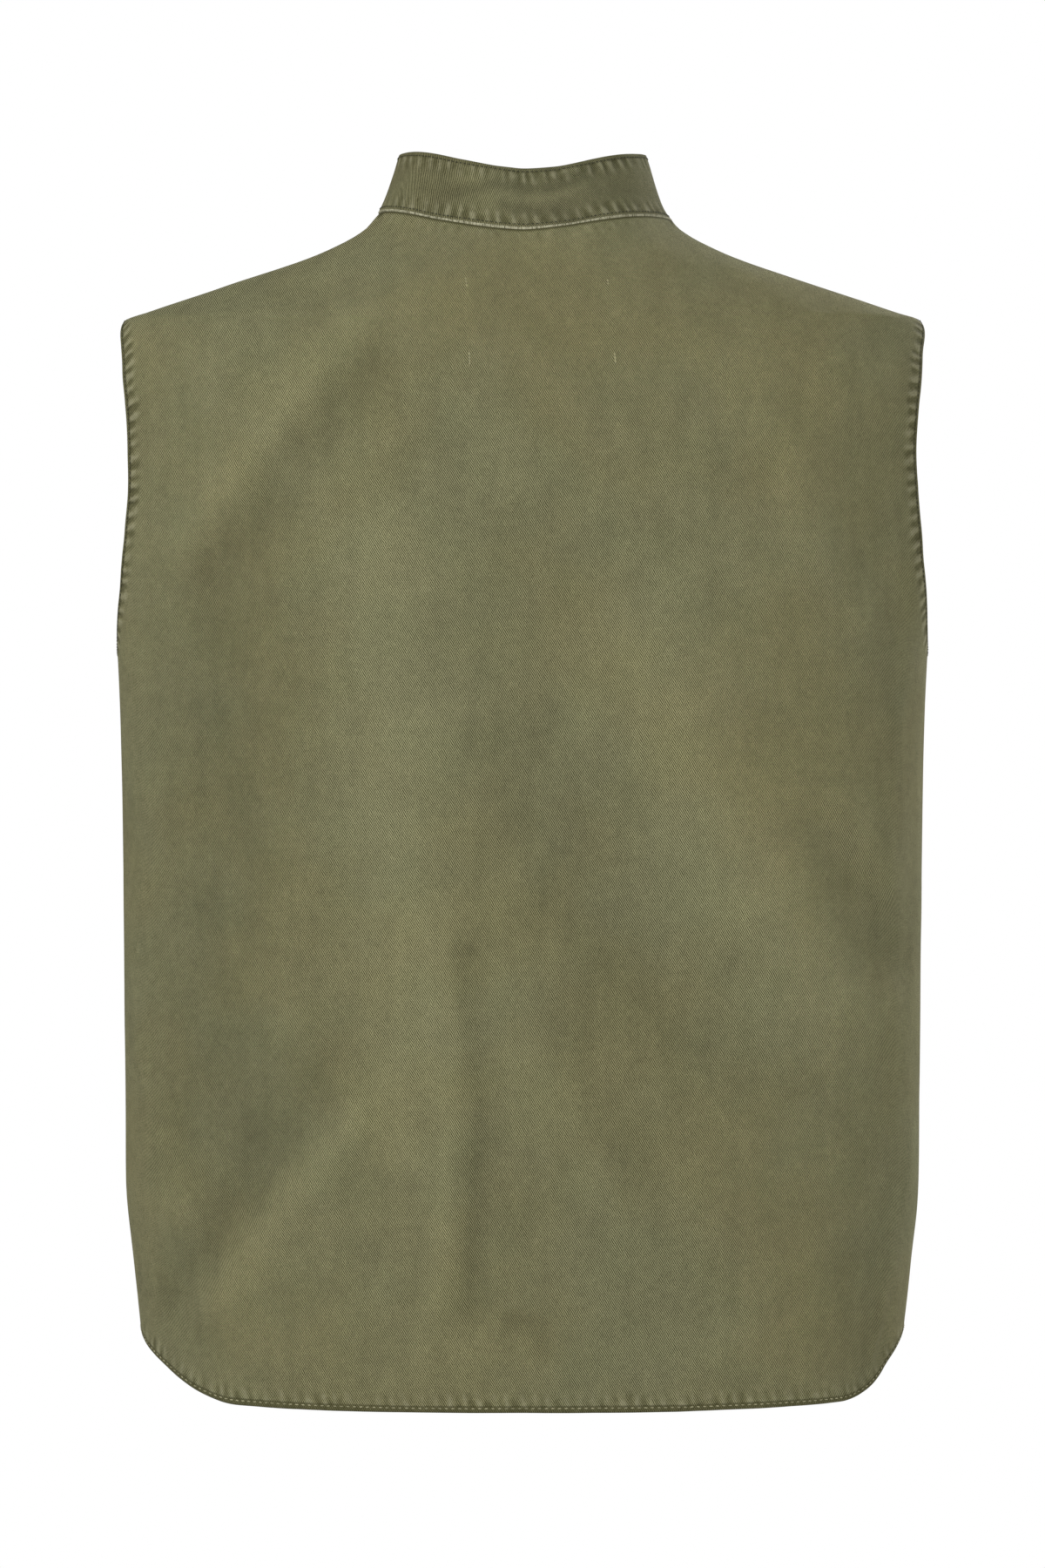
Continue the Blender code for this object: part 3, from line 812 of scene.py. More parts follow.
class NodeSheet:
    """A new material, and short ways to add nodes to it. Noise scales are lumps per metre."""

    def __init__(self, name):
        self.finish = bpy.data.materials.new(name)
        self.finish.use_nodes = True
        self.tree = self.finish.node_tree
        self.surface = self.tree.nodes["Principled BSDF"].inputs

    def add(self, kind, settings=(), **sockets):
        return add_node(self.tree, kind, settings, **sockets)

    def parts(self, vector):
        return self.add("ShaderNodeSeparateXYZ", Vector=vector).outputs

    def stretched(self, vector, scale):
        return self.add("ShaderNodeMapping", Vector=vector, Scale=scale).outputs[0]

    def math(self, operation, first, second=0.0, third=0.0, clamp=False):
        node = self.add("ShaderNodeMath", {"operation": operation, "use_clamp": clamp})
        for socket, value in zip(node.inputs, (first, second, third)):
            plug(self.tree, socket, value)
        return node.outputs[0]

    def mix(self, share, first, second, blend="MIX"):
        return mix_colours(self.tree, share, first, second, blend)

    def ramp(self, value, low, high):
        """0 at low, 1 at high, eased at both ends."""
        node = self.add("ShaderNodeMapRange", {"interpolation_type": "SMOOTHSTEP"})
        for socket, setting in zip(node.inputs, (value, low, high, 0.0, 1.0)):
            plug(self.tree, socket, setting)
        return node.outputs[0]

    def under(self, value, low, high):
        """1 at low, 0 at high."""
        return self.math("SUBTRACT", 1.0, self.ramp(value, low, high))

    def noise(self, vector, scale, detail=2.0, roughness=0.5):
        return self.add("ShaderNodeTexNoise", Vector=vector, Scale=scale, Detail=detail,
                        Roughness=roughness).outputs[0]

    def uneven(self, vector, scale, size, detail=2.0, roughness=0.5, middle=0.0):
        """Noise of a size about a middle value."""
        lumps = self.noise(vector, scale, detail, roughness)
        return self.math("MULTIPLY_ADD", lumps, size, middle - size / 2)

    def finished(self, colour, roughness, height):
        """The material with its colour, its roughness and a bump for its relief in metres."""
        bump = self.add("ShaderNodeBump", Strength=1.0, Distance=1.0, Height=height)
        plug(self.tree, self.surface["Base Color"], colour)
        plug(self.tree, self.surface["Roughness"], roughness)
        plug(self.tree, self.surface["Normal"], bump.outputs[0])
        return self.finish


print("short ways to add nodes:", ", ".join(way for way in vars(NodeSheet) if way[0] != "_"))

# %% Weave and puckers
TWILL_PITCH = 1.0 * MM
TWILL_ANGLE = math.radians(59)  # below the horizontal
TWILL_WANDER = 0.9 * MM
WANDER_SCALE = 160.0
RIDGE_FLANK = 0.8  # below 1, which leaves the ridges and furrows a flat top and bottom
WEFT_PITCH = 0.62 * MM
WEFT_SHARE = 0.07
FLECK, FLECK_SCALE = 0.9, 1500.0
SLUB, YARN_SCALE = 0.5, (1500.0, 260.0, 1.0)
BAND = 3.0 * MM  # from a finished edge to where its stitching pulls the cloth in
PUCKER_LENGTH = 8.3 * MM
PUCKER_REACH = 12 * MM
PUCKER_START = 0.45 * BAND
PUCKER_SLANT = 0.25  # how far they lean along the edge for each step away from it
PUCKER_DRIFT, DRIFT_SCALE = 9.0, 60.0  # in radians, so that no two puckers are alike
PUCKER_ORDER = 0.75
PUCKER_NOISE, PUCKER_NOISE_SCALE = 2.8, 160.0
SWELL, SWELL_MIDDLE, SWELL_SCALE = 2.2, 0.9, 32.0


def weave_height(sheet, cloth):
    """Height of the twill from 0 to 1: slanting ridges, crossed by the weft, of uneven yarn."""
    across, up, _ = sheet.parts(cloth)
    place = sheet.math("MULTIPLY", sheet.noise(cloth, WANDER_SCALE), TWILL_WANDER)
    place = sheet.math("MULTIPLY_ADD", across, math.sin(TWILL_ANGLE), place)
    place = sheet.math("MULTIPLY_ADD", up, math.cos(TWILL_ANGLE), place)
    turns = sheet.math("MULTIPLY", place, 2 * math.pi / TWILL_PITCH)
    ridge = sheet.ramp(sheet.math("SINE", turns), -RIDGE_FLANK, RIDGE_FLANK)
    weft = sheet.math("SINE", sheet.math("MULTIPLY", up, 2 * math.pi / WEFT_PITCH))
    ridge = sheet.math("MULTIPLY_ADD", weft, WEFT_SHARE, ridge)
    ridge = sheet.math("ADD", ridge, sheet.uneven(cloth, FLECK_SCALE, FLECK, detail=1.0))
    slub = sheet.uneven(sheet.stretched(cloth, YARN_SCALE), 1.0, SLUB)
    return sheet.math("ADD", ridge, slub, clamp=True)


def pucker_height(sheet, edge, away, strength):
    """Waves from -1 to 1 that the stitching pulls into the cloth beside a finished edge."""
    along = sheet.parts(edge)[0]
    row = sheet.add("ShaderNodeCombineXYZ", X=along).outputs[0]
    place = sheet.math("MULTIPLY_ADD", away, PUCKER_SLANT, along)
    turns = sheet.math("MULTIPLY", place, 2 * math.pi / PUCKER_LENGTH)
    turns = sheet.math("MULTIPLY_ADD", sheet.noise(row, DRIFT_SCALE), PUCKER_DRIFT, turns)
    rough = sheet.uneven(edge, PUCKER_NOISE_SCALE, PUCKER_NOISE)
    wave = sheet.math("MULTIPLY_ADD", sheet.math("SINE", turns), PUCKER_ORDER, rough)
    swell = sheet.uneven(row, SWELL_SCALE, SWELL, detail=1.0, middle=SWELL_MIDDLE)
    inside = sheet.ramp(away, PUCKER_START, BAND)
    outside = sheet.under(away, BAND, BAND + PUCKER_REACH)
    for factor in (swell, inside, outside, strength):
        wave = sheet.math("MULTIPLY", wave, factor)
    return wave


print(f"twill ridges {TWILL_PITCH / MM:.1f} mm apart")

# %% Colour of the cloth
# The furrows' near-black colour is painted shade between the twill's ridges.
SHADED_FURROW_COLOUR = (0.018, 0.019, 0.004, 1.0)
RIDGE_COLOUR = (0.311, 0.299, 0.167, 1.0)
CASTS = (
    # dye that took unevenly: scale, detail, roughness, low, high, share and colour
    (8.0, 3.0, 0.5, 0.35, 0.65, 0.6, (1.05, 0.99, 0.90, 1.0)),
    (26.0, 4.0, 0.6, 0.38, 0.66, 0.5, (0.97, 1.00, 0.97, 1.0)),
)
FOLD_WEAR_AND_SHADE = 0.17  # how much paler the folds' ridges are, partly worn, and how much darker their hollows are painted as shade
CLOUDS = (
    # washing: whether it streaks up the cloth, scale and size
    (False, 150.0, 0.34), (False, 40.0, 0.28), (True, 95.0, 0.30),
)
CLOUD_DETAIL, CLOUD_ROUGHNESS = 3.0, 0.6
STREAK = (1.0, 0.22, 1.0)


def cloth_colour_with_fold_shade(sheet, cloth, weave, shade):
    """Colour of the cloth away from its edges: dye, washing, and folds with paler, partly worn
    ridges and hollows darkened as painted shade.
    """
    colour = sheet.mix(weave, SHADED_FURROW_COLOUR, RIDGE_COLOUR)
    for scale, detail, roughness, low, high, share, cast in CASTS:
        patch = sheet.ramp(sheet.noise(cloth, scale, detail, roughness), low, high)
        tinted = sheet.mix(1.0, colour, cast, "MULTIPLY")
        colour = sheet.mix(sheet.math("MULTIPLY", patch, share), colour, tinted)
    # Fold ridges come out paler, partly worn, and fold hollows darker, as painted shade.
    fold = sheet.add("ShaderNodeAttribute", {"attribute_name": "fold_wear_and_shade"}).outputs["Fac"]
    light = sheet.math("MULTIPLY_ADD", fold, FOLD_WEAR_AND_SHADE, 1.0)
    streaks = sheet.stretched(cloth, STREAK)
    for streaked, scale, size in CLOUDS:
        place = streaks if streaked else cloth
        cloud = sheet.uneven(place, scale, size, CLOUD_DETAIL, CLOUD_ROUGHNESS)
        light = sheet.math("ADD", light, cloud)
    light = sheet.math("MULTIPLY", light, shade)
    grey = sheet.add("ShaderNodeCombineXYZ", X=light, Y=light, Z=light).outputs[0]
    return sheet.mix(1.0, colour, grey, "MULTIPLY")


print(len(CASTS), "casts and", len(CLOUDS), "clouds in the dye")

# %% Wear at the edges, and the finish
# The first colour is worn cloth and partly painted highlight on the puckers' crests; the third is
# painted shade for the puckers' hollows, the stitched bands and the crease under the collar.
WORN_AND_LIT_COLOUR = (0.36, 0.345, 0.225, 1.0)
LIP_COLOUR = (0.52, 0.50, 0.35, 1.0)
PAINTED_SHADE_COLOUR = (0.046, 0.044, 0.014, 1.0)
PALE_PUCKER, SHADED_PUCKER, DARKEST_HOLLOW = 0.34, 0.5, 0.9
BAND_FADE = (0.8 * BAND, 1.25 * BAND)
BAND_SHADE, BAND_UNEVEN, BAND_SCALE = 0.32, 0.6, 420.0
CREASE_SHADOW_SHARE, CREASE_SHADOW_FADE = 0.75, (0.4 * MM, 2.2 * MM)
LIP_SHARE, LIP_FADE = 0.9, (0.4 * MM, 1.0 * MM)
LIP_SCALE, LIP_BREAKS = 1300.0, (0.3, 0.6)
WEAVE_DEPTH = 0.17 * MM
LUMPS, LUMP_DEPTH = (140.0, 3.0, 0.55), 0.30 * MM  # scale, detail and roughness
PUCKER_DEPTH = 0.6 * MM
GROOVE_DEPTH, GROOVE_PLACE, GROOVE_HALF_WIDTH = 0.5 * MM, 0.85 * BAND, 1.1 * MM
LIP_HEIGHT = 0.5 * MM
CLOTH_ROUGHNESS = 0.94
CLOTH_SHINE = 0.12


def edge_wear_and_shade(sheet, colour, cloth, edge, pucker, kind):
    """The colour with puckers, worn edges and painted shade over it, and where the pale lip of a
    seam is.
    """
    away = sheet.parts(edge)[1]
    # The stitched band beside an edge is darkened as painted shade.
    shaded_band = sheet.math("MULTIPLY", sheet.under(away, *BAND_FADE), kind[1])
    patchy_shade = sheet.math("MULTIPLY_ADD", sheet.noise(cloth, BAND_SCALE), BAND_UNEVEN, BAND_SHADE)
    # The crease along the neck edge, under the collar, is a painted shadow.
    crease_shadow = sheet.math("MULTIPLY", sheet.under(away, *CREASE_SHADOW_FADE), kind[2], clamp=True)
    broken = sheet.ramp(sheet.noise(edge, LIP_SCALE, 1.0), *LIP_BREAKS)
    lip = sheet.math("MULTIPLY", sheet.under(away, *LIP_FADE), broken)
    lip = sheet.math("MULTIPLY", lip, sheet.math("MULTIPLY", kind[2], -1.0), clamp=True)
    # Puckers are painted paler on their crests, partly worn and partly painted highlight, and
    # darker in their hollows as painted shade.
    shaded_hollow = sheet.ramp(sheet.math("MULTIPLY", pucker, -1.0), 0.0, DARKEST_HOLLOW)
    for share, most, over in (
        (sheet.ramp(pucker, 0.0, 1.0), PALE_PUCKER, WORN_AND_LIT_COLOUR),
        (shaded_hollow, SHADED_PUCKER, PAINTED_SHADE_COLOUR),
        (shaded_band, patchy_shade, PAINTED_SHADE_COLOUR),
        (crease_shadow, CREASE_SHADOW_SHARE, PAINTED_SHADE_COLOUR),
        (lip, LIP_SHARE, LIP_COLOUR),
    ):
        colour = sheet.mix(sheet.math("MULTIPLY", share, most), colour, over)
    return colour, lip


def canvas_finish(name, shade):
    """Twill for a panel. shade scales its colour darker for some pieces than others."""
    sheet = NodeSheet(name)
    cloth, edge = (sheet.add("ShaderNodeUVMap", {"uv_map": uv_map}).outputs[0]
                   for uv_map in ("cloth", "edge"))
    away = sheet.parts(edge)[1]
    told = sheet.add("ShaderNodeAttribute", {"attribute_name": "edge_kind"}).outputs["Vector"]
    kind = sheet.parts(told)
    weave = weave_height(sheet, cloth)
    pucker = pucker_height(sheet, edge, away, kind[0])
    colour = cloth_colour_with_fold_shade(sheet, cloth, weave, shade)
    colour, lip = edge_wear_and_shade(sheet, colour, cloth, edge, pucker, kind)
    off = sheet.math("ABSOLUTE", sheet.math("SUBTRACT", away, GROOVE_PLACE))
    groove = sheet.math("MULTIPLY", sheet.under(off, 0.0, GROOVE_HALF_WIDTH), kind[1])
    height = 0.0
    for relief, depth in (
        (weave, WEAVE_DEPTH),
        (sheet.noise(cloth, *LUMPS), LUMP_DEPTH),
        (pucker, PUCKER_DEPTH),
        (groove, -GROOVE_DEPTH),
        (lip, LIP_HEIGHT),
    ):
        height = sheet.math("MULTIPLY_ADD", relief, depth, height)
    sheet.surface["Specular IOR Level"].default_value = CLOTH_SHINE
    return sheet.finished(colour, CLOTH_ROUGHNESS, height)


canvas = canvas_finish("washed_twill", 1.0)
collar_canvas = canvas_finish("collar_twill", 0.80)
print("nodes in the twill:", len(canvas.node_tree.nodes))

# %% [markdown]
# ## Back and fronts
#
# The back is one piece from side seam to side seam. The wearer's right front laps over the left
# one, so it stands a little further out near the centre. At the seams the cloth turns under, so
# each panel dips there by half a millimetre and the seam shows as a fine line.

# %% Back and fronts
SEAM_DIP = 0.5 * MM
SEAM_DIP_WIDTH = 2.2 * MM
TURNED_EDGE = 12 * MM  # width of the doubled cloth along hem and armholes
TURNED_EDGE_FADE = 2 * MM
FOLD_SCALE = 5 * MM
CRUMPLE_WEAR_AND_SHADE = 0.5  # share of the seeded crumples that shows as wear and as painted shade
SHEETS = {}  # what later steps need to know of each sheet of cloth


def is_armhole(rows):
    return (rows >= ARMHOLE_BOTTOM - TINY) & (rows <= SHOULDER_POINT + TINY)


def fold_wear_and_shade(relief, scale):
    """Paler fold ridges, partly worn, and darker hollows as painted shade: from -1 in the hollows
    to 1, as an attribute of the mesh.
    """
    return np.repeat(np.clip(relief / scale, -1, 1)[..., None], 3, axis=-1)


def sewn_dip(across, column, rows):
    """How far the cloth sinks at a side or shoulder seam."""
    gap = np.abs(across - across[:, column][:, None])
    return SEAM_DIP * np.exp(-((gap / SEAM_DIP_WIDTH) ** 2)) * ~is_armhole(rows)[:, None]


print("rows that end at an armhole:", is_armhole(row_levels()).sum())


# %% Panels between two edges
def make_panel(name, first_edge, last_edge, columns, folds, lift=None, sewn=(True, True)):
    """A panel between two edges. sewn says which of its sides join a neighbour."""
    rows = row_levels()
    grid, across = plain_grid(first_edge, last_edge, columns)
    cloth_map = laid_flat(np.stack([across, metres_up(grid, across)], axis=-1), grid)
    armhole = np.flatnonzero(is_armhole(rows))
    edges = {"hem": cloth_map[0], "neck": cloth_map[-1, ::-1]}
    kinds = {"hem": "hem", "neck": "neck"}
    for side, column in (("last", -1), ("first", 0)):
        line = cloth_map[armhole, column] if sewn[column] else cloth_map[:, column]
        edges[side] = line if column == -1 else line[::-1]
        kinds[side] = "armhole" if sewn[column] else "placket"
    near, edge_kind = edge_map(cloth_map, [(edges[key], kinds[key]) for key in edges])
    fade = 1 - np.exp(-((grid[..., 1] / FOLD_FADE) ** 2))
    relief = fold_relief(grid[..., 0], grid[..., 2], folds)
    crumples = crumple(cloth_map[..., 0], cloth_map[..., 1], CRUMPLES)
    # The folds and crumples are also painted into the colour: paler on their ridges, partly worn,
    # and darker in their hollows, as painted shade.
    worn_and_shaded = fold_wear_and_shade(relief + CRUMPLE_WEAR_AND_SHADE * crumples, FOLD_SCALE)
    told = {"edge_kind": edge_kind, "fold_wear_and_shade": worn_and_shaded}
    relief = fade * (relief + crumples)
    for column in (0, -1):
        if sewn[column]:
            relief -= sewn_dip(across, column, rows)
    if lift is not None:
        relief = relief + lift(grid[..., 0])
    grid = grid + normals(grid) * relief[..., None]
    folded = np.zeros(grid.shape[:2])
    folded[0] = 1
    for column in (0, -1):
        beside = is_armhole(rows) if sewn[column] else 1
        folded[:, column] = np.maximum(folded[:, column], beside)
    turned = 1 - np.clip((near[..., 1] - TURNED_EDGE) / TURNED_EDGE_FADE, 0, 1)
    turned = turned * (edge_kind[..., 1] > 0) * (rows < SHOULDER_POINT)[:, None]
    maps = {"cloth": cloth_map, "edge": near}
    obj = two_faced_mesh(name, grid, CLOTH * (1 + turned), folded, maps, told, canvas)
    SHEETS[name] = {"grid": grid, "map": cloth_map, "edges": edges}
    return obj


def lap_lift(x):
    past = np.clip((x - LAP) / LAP_RAMP, 0, 1)
    return LAP_LIFT * (1 - past**2 * (3 - 2 * past))


print(f"the upper front stands {LAP_LIFT / MM:.1f} mm out at the lap")

# %% Make the panels
back = make_panel("back_cloth", back_left_edge, back_right_edge, BACK_COLUMNS, BACK_FOLDS)
front_right = make_panel("front_right_cloth", right_front_side, right_front_centre,
                         FRONT_COLUMNS, FRONT_FOLDS, lap_lift, (True, False))
front_left = make_panel("front_left_cloth", left_front_centre, left_front_side,
                        FRONT_COLUMNS, FRONT_FOLDS, None, (False, True))
for piece in (back, front_right, front_left):
    print(piece.name, len(piece.data.polygons), "faces")

# %% [markdown]
# ## Stand collar
#
# The collar is two layers of canvas on a stiffener. Its foot follows the neck edges of the three
# panels, it leans in as it rises, and its foot flares where it meets the shoulders. It is made
# from the panels' own edges, so it cannot part from them.

# %% Sizes and creases of the collar
COLLAR_HEIGHT = 38 * MM
COLLAR_DIP = 1.6 * MM
COLLAR_DIP_PLACE = 42 * MM
COLLAR_DIP_WIDTH = 30 * MM
COLLAR_CLOTH = 2.6 * MM
COLLAR_PROUD = 0.6 * MM
COLLAR_RAISED = 0.8 * MM
COLLAR_LAP_LIFT = 1.2 * MM
COLLAR_LEAN = math.radians(17.3)
COLLAR_FLARE = 1.5 * MM
RIGHT_COLLAR_FLARE = 3.1 * MM
COLLAR_FLARE_HEIGHT = 6 * MM
COLLAR_SMOOTHING = 26
COLLAR_ROWS = 30
COLLAR_CRUMPLES = ((0.5 * MM, 30 * MM, 21), (0.25 * MM, 12 * MM, 22))
COLLAR_FOLDS = (
    # height, width and path as (across, up), in mm
    (-0.9, 3.5, ((-56, 14), (-48, 18.6), (-18, 28), (21, 25.5), (52, 31))),
    (0.8, 4.5, ((-50, 26), (-24, 34))),
    (-0.8, 4.0, ((-14, 15.5), (21, 10))),
    (0.7, 4.0, ((-20, 20), (20, 18), (44, 22))),
    (0.6, 4.0, ((30, 32), (44, 35))),
)
COLLAR_FOLD_SCALE = 0.8 * MM
print(f"collar {COLLAR_HEIGHT / MM:.0f} mm high, {len(COLLAR_FOLDS)} creases")


# %% Shape of the collar
def smooth(line):
    """Evens out vectors along a line, with the ends held."""
    padded = np.pad(line, ((COLLAR_SMOOTHING,) * 2, (0, 0)), "edge")
    weights = np.hanning(2 * COLLAR_SMOOTHING + 3)[1:-1]
    kernel = weights / weights.sum()
    return np.stack([np.convolve(padded[:, k], kernel, "valid") for k in range(3)], axis=-1)


def unit(vectors):
    return vectors / np.linalg.norm(vectors, axis=-1, keepdims=True)


def collar_grid():
    left, behind, right = (SHEETS[n]["grid"][-1] for n in
                           ("front_left_cloth", "back_cloth", "front_right_cloth"))
    foot = np.concatenate([left, behind[1:-1], right])
    if len(foot) % 2 == 0:
        foot = np.delete(foot, 1, axis=0)
    along = unit(smooth(unit(np.gradient(foot, axis=0))))
    out = unit(np.stack([along[:, 1], -along[:, 0], np.zeros(len(foot))], axis=-1))
    up = unit(np.array([0, 0, 1]) - math.tan(COLLAR_LEAN) * out)
    up = unit(up - (up * along).sum(axis=-1, keepdims=True) * along)
    on_upper_front = (np.arange(len(foot)) > len(foot) / 2) & (out[:, 1] > 0)
    lap = COLLAR_LAP_LIFT * lap_lift(foot[:, 0]) / LAP_LIFT * on_upper_front
    flare = COLLAR_FLARE + RIGHT_COLLAR_FLARE * np.clip(out[:, 0], 0, 1) ** 2
    dip = COLLAR_DIP * np.exp(-(((foot[:, 0] - COLLAR_DIP_PLACE) / COLLAR_DIP_WIDTH) ** 2))
    full_height = COLLAR_HEIGHT + NECK_TILT * out[:, 0] ** 3 - dip * (out[:, 1] < 0)
    grid = np.empty((COLLAR_ROWS + 1, len(foot), 3))
    steps = np.linalg.norm(np.diff(foot, axis=0), axis=1)
    metres = np.concatenate([[0], np.cumsum(steps)])
    cloth_map = np.empty((COLLAR_ROWS + 1, len(foot), 2))
    for j, share in enumerate(np.linspace(0, 1, COLLAR_ROWS + 1)):
        height = COLLAR_RAISED + full_height * share
        inward = flare * (1 - np.exp(-height / COLLAR_FLARE_HEIGHT))
        cloth_map[j] = np.stack([metres - metres[-1] / 2, height], axis=-1)
        grid[j] = foot + up * height[:, None] + out * (COLLAR_PROUD + lap - inward)[:, None]
    return grid, cloth_map


print("points along the collar:", collar_grid()[0].shape[1])


# %% Make the collar
def make_collar():
    grid, cloth_map = collar_grid()
    across, up = cloth_map[..., 0], cloth_map[..., 1]
    edges = {"foot": cloth_map[0], "last": cloth_map[:, -1], "top": cloth_map[-1, ::-1],
             "first": cloth_map[::-1, 0]}
    kinds = ("collar_foot", "collar_end", "collar_top", "collar_end")
    near, edge_kind = edge_map(cloth_map, list(zip(edges.values(), kinds)))
    relief = crumple(across, up, COLLAR_CRUMPLES) + fold_relief(across, up, COLLAR_FOLDS)
    # The collar's creases and crumples are painted the same way: paler ridges, and darker hollows
    # as painted shade.
    told = {"edge_kind": edge_kind, "fold_wear_and_shade": fold_wear_and_shade(relief, COLLAR_FOLD_SCALE)}
    grid = grid + normals(grid) * relief[..., None]
    thickness = np.full(grid.shape[:2], COLLAR_CLOTH)
    maps = {"cloth": cloth_map, "edge": near}
    folded = np.ones(grid.shape[:2])
    obj = two_faced_mesh("collar_cloth", grid, thickness, folded, maps, told,
                         collar_canvas)
    SHEETS["collar_cloth"] = {"grid": grid, "map": cloth_map, "edges": edges}
    return obj


collar = make_collar()
print(collar.name, len(collar.data.polygons), "faces")

# %% [markdown]
# ## Stitches
#
# Every finished edge is sewn down with a row of pale thread. A row is a line on the flat cloth,
# set in from an edge. It is carried to the piece in space, and Geometry Nodes then lay one small
# stitch at each step along it. Drawn in the material instead, the stitches would have no height
# and would catch no light.

# %% Rows of stitches on the flat cloth
HEM_STITCH = (3.8 * MM, 2.2 * MM)  # step from stitch to stitch, and length of a stitch
EDGE_STITCH = (3.0 * MM, 2.1 * MM)
DARK_STITCH = (2.9 * MM, 2.1 * MM)
COLLAR_STITCH = (2.7 * MM, 1.7 * MM)
HEM_INSET = 1.9 * MM
ARMHOLE_INSET = 2.2 * MM
FOOT_INSET = 2.3 * MM
TOP_INSET = 1.9 * MM
PLACKET_INSET = 32 * MM
SATIN_STITCH = (0.62 * MM, 1.9 * MM)
LINE_SPACING = 1 * MM
TACKS = (
    # short rows between the shoulder blades, as (across, up) in mm
    ((-33.5, -41), (-32.6, -46)),
    ((-30.5, -90), (-30.2, -96)),
    ((50.6, -41), (50.8, -43)),
    ((53.2, -90), (53.6, -95)),
)
print(f"stitches {HEM_STITCH[0] / MM:.1f} mm apart on the hem")


# %% Rows carried from the flat cloth to the piece
def inset(line, distance):
    """The line moved into the cloth. Edges run counterclockwise, so that's to their left."""
    line, _ = evenly(line, LINE_SPACING)
    along = np.gradient(line, axis=0)
    along /= np.linalg.norm(along, axis=1, keepdims=True)
    return line + distance * np.stack([-along[:, 1], along[:, 0]], axis=-1)


def flat_tree(sheet):
    """The flat cloth as a searchable mesh of triangles."""
    rows, columns = sheet["map"].shape[:2]
    four = quads(rows, columns)
    triangles = np.concatenate([four[:, [0, 1, 2]], four[:, [0, 2, 3]]])
    flat = np.column_stack([sheet["map"].reshape(-1, 2), np.zeros(rows * columns)])
    return BVHTree.FromPolygons(flat.tolist(), triangles.tolist()), flat, triangles


def on_cloth(sheet, line):
    """Where points of the flat cloth lie in space, and the way out of the cloth there."""
    tree, flat, triangles = sheet["tree"]
    grid = sheet["grid"].reshape(-1, 3)
    outward = normals(sheet["grid"]).reshape(-1, 3)
    places, outs = [], []
    for u, v in line:
        point, _, index, _ = tree.find_nearest((u, v, 0))
        corners = triangles[index]
        flat_corners = [Vector(flat[c]) for c in corners]
        for source, found in ((grid, places), (outward, outs)):
            found.append(barycentric_transform(point, *flat_corners,
                                               *[Vector(source[c]) for c in corners]))
    return places, outs


for sheet in SHEETS.values():
    sheet["tree"] = flat_tree(sheet)
print("sheets that can be sewn:", len(SHEETS))

# %% List the rows
STITCH_LINES = {name: [] for name in SHEETS}
for name in ("back_cloth", "front_right_cloth", "front_left_cloth"):
    edges = SHEETS[name]["edges"]
    STITCH_LINES[name].append((inset(edges["hem"], HEM_INSET), HEM_STITCH))
    for side in ("first", "last"):
        if (name, side) not in (("front_right_cloth", "last"), ("front_left_cloth", "first")):
            STITCH_LINES[name].append((inset(edges[side], ARMHOLE_INSET), DARK_STITCH))
            continue
        for distance in (HEM_INSET, PLACKET_INSET):
            STITCH_LINES[name].append((inset(edges[side], distance), EDGE_STITCH))
for ends in TACKS:
    STITCH_LINES["back_cloth"].append((np.array(ends) * MM, SATIN_STITCH))
for side, distance in (("foot", FOOT_INSET), ("top", TOP_INSET), ("first", TOP_INSET),
                       ("last", TOP_INSET)):
    edge = SHEETS["collar_cloth"]["edges"][side]
    STITCH_LINES["collar_cloth"].append((inset(edge, distance), COLLAR_STITCH))
print("rows of stitches:", sum(len(lines) for lines in STITCH_LINES.values()))

# %% Thread
STITCH_WIDTH = 0.72 * MM
STITCH_HEIGHT = 0.55 * MM
STITCH_TILT = 0.16
STITCH_SIDES, STITCH_RINGS = 8, 5
FIBRE_SCALE, FIBRE_DEPTH = 2600.0, 0.06 * MM
THREAD_WEAR = (0.35, 0.6)
THREAD_WEAR_SCALE = 120.0
THREAD_ROUGHNESS = 0.8
PALE_THREAD = ((0.36, 0.34, 0.20, 1.0), (0.10, 0.095, 0.04, 1.0))
DARK_THREAD = ((0.030, 0.030, 0.008, 1.0), (0.010, 0.010, 0.003, 1.0))


def thread_finish(name, pale, dark):
    sheet = NodeSheet(name)
    place = sheet.add("ShaderNodeTexCoord").outputs["Object"]
    fibre = sheet.noise(place, FIBRE_SCALE)
    worn = sheet.ramp(sheet.noise(place, THREAD_WEAR_SCALE), *THREAD_WEAR)
    colour = sheet.mix(sheet.math("MULTIPLY", fibre, worn), pale, dark)
    return sheet.finished(colour, THREAD_ROUGHNESS, sheet.math("MULTIPLY", fibre, FIBRE_DEPTH))


thread = thread_finish("pale_thread", *PALE_THREAD)
dark_thread = thread_finish("dark_thread", *DARK_THREAD)
print("threads:", thread.name, "and", dark_thread.name)


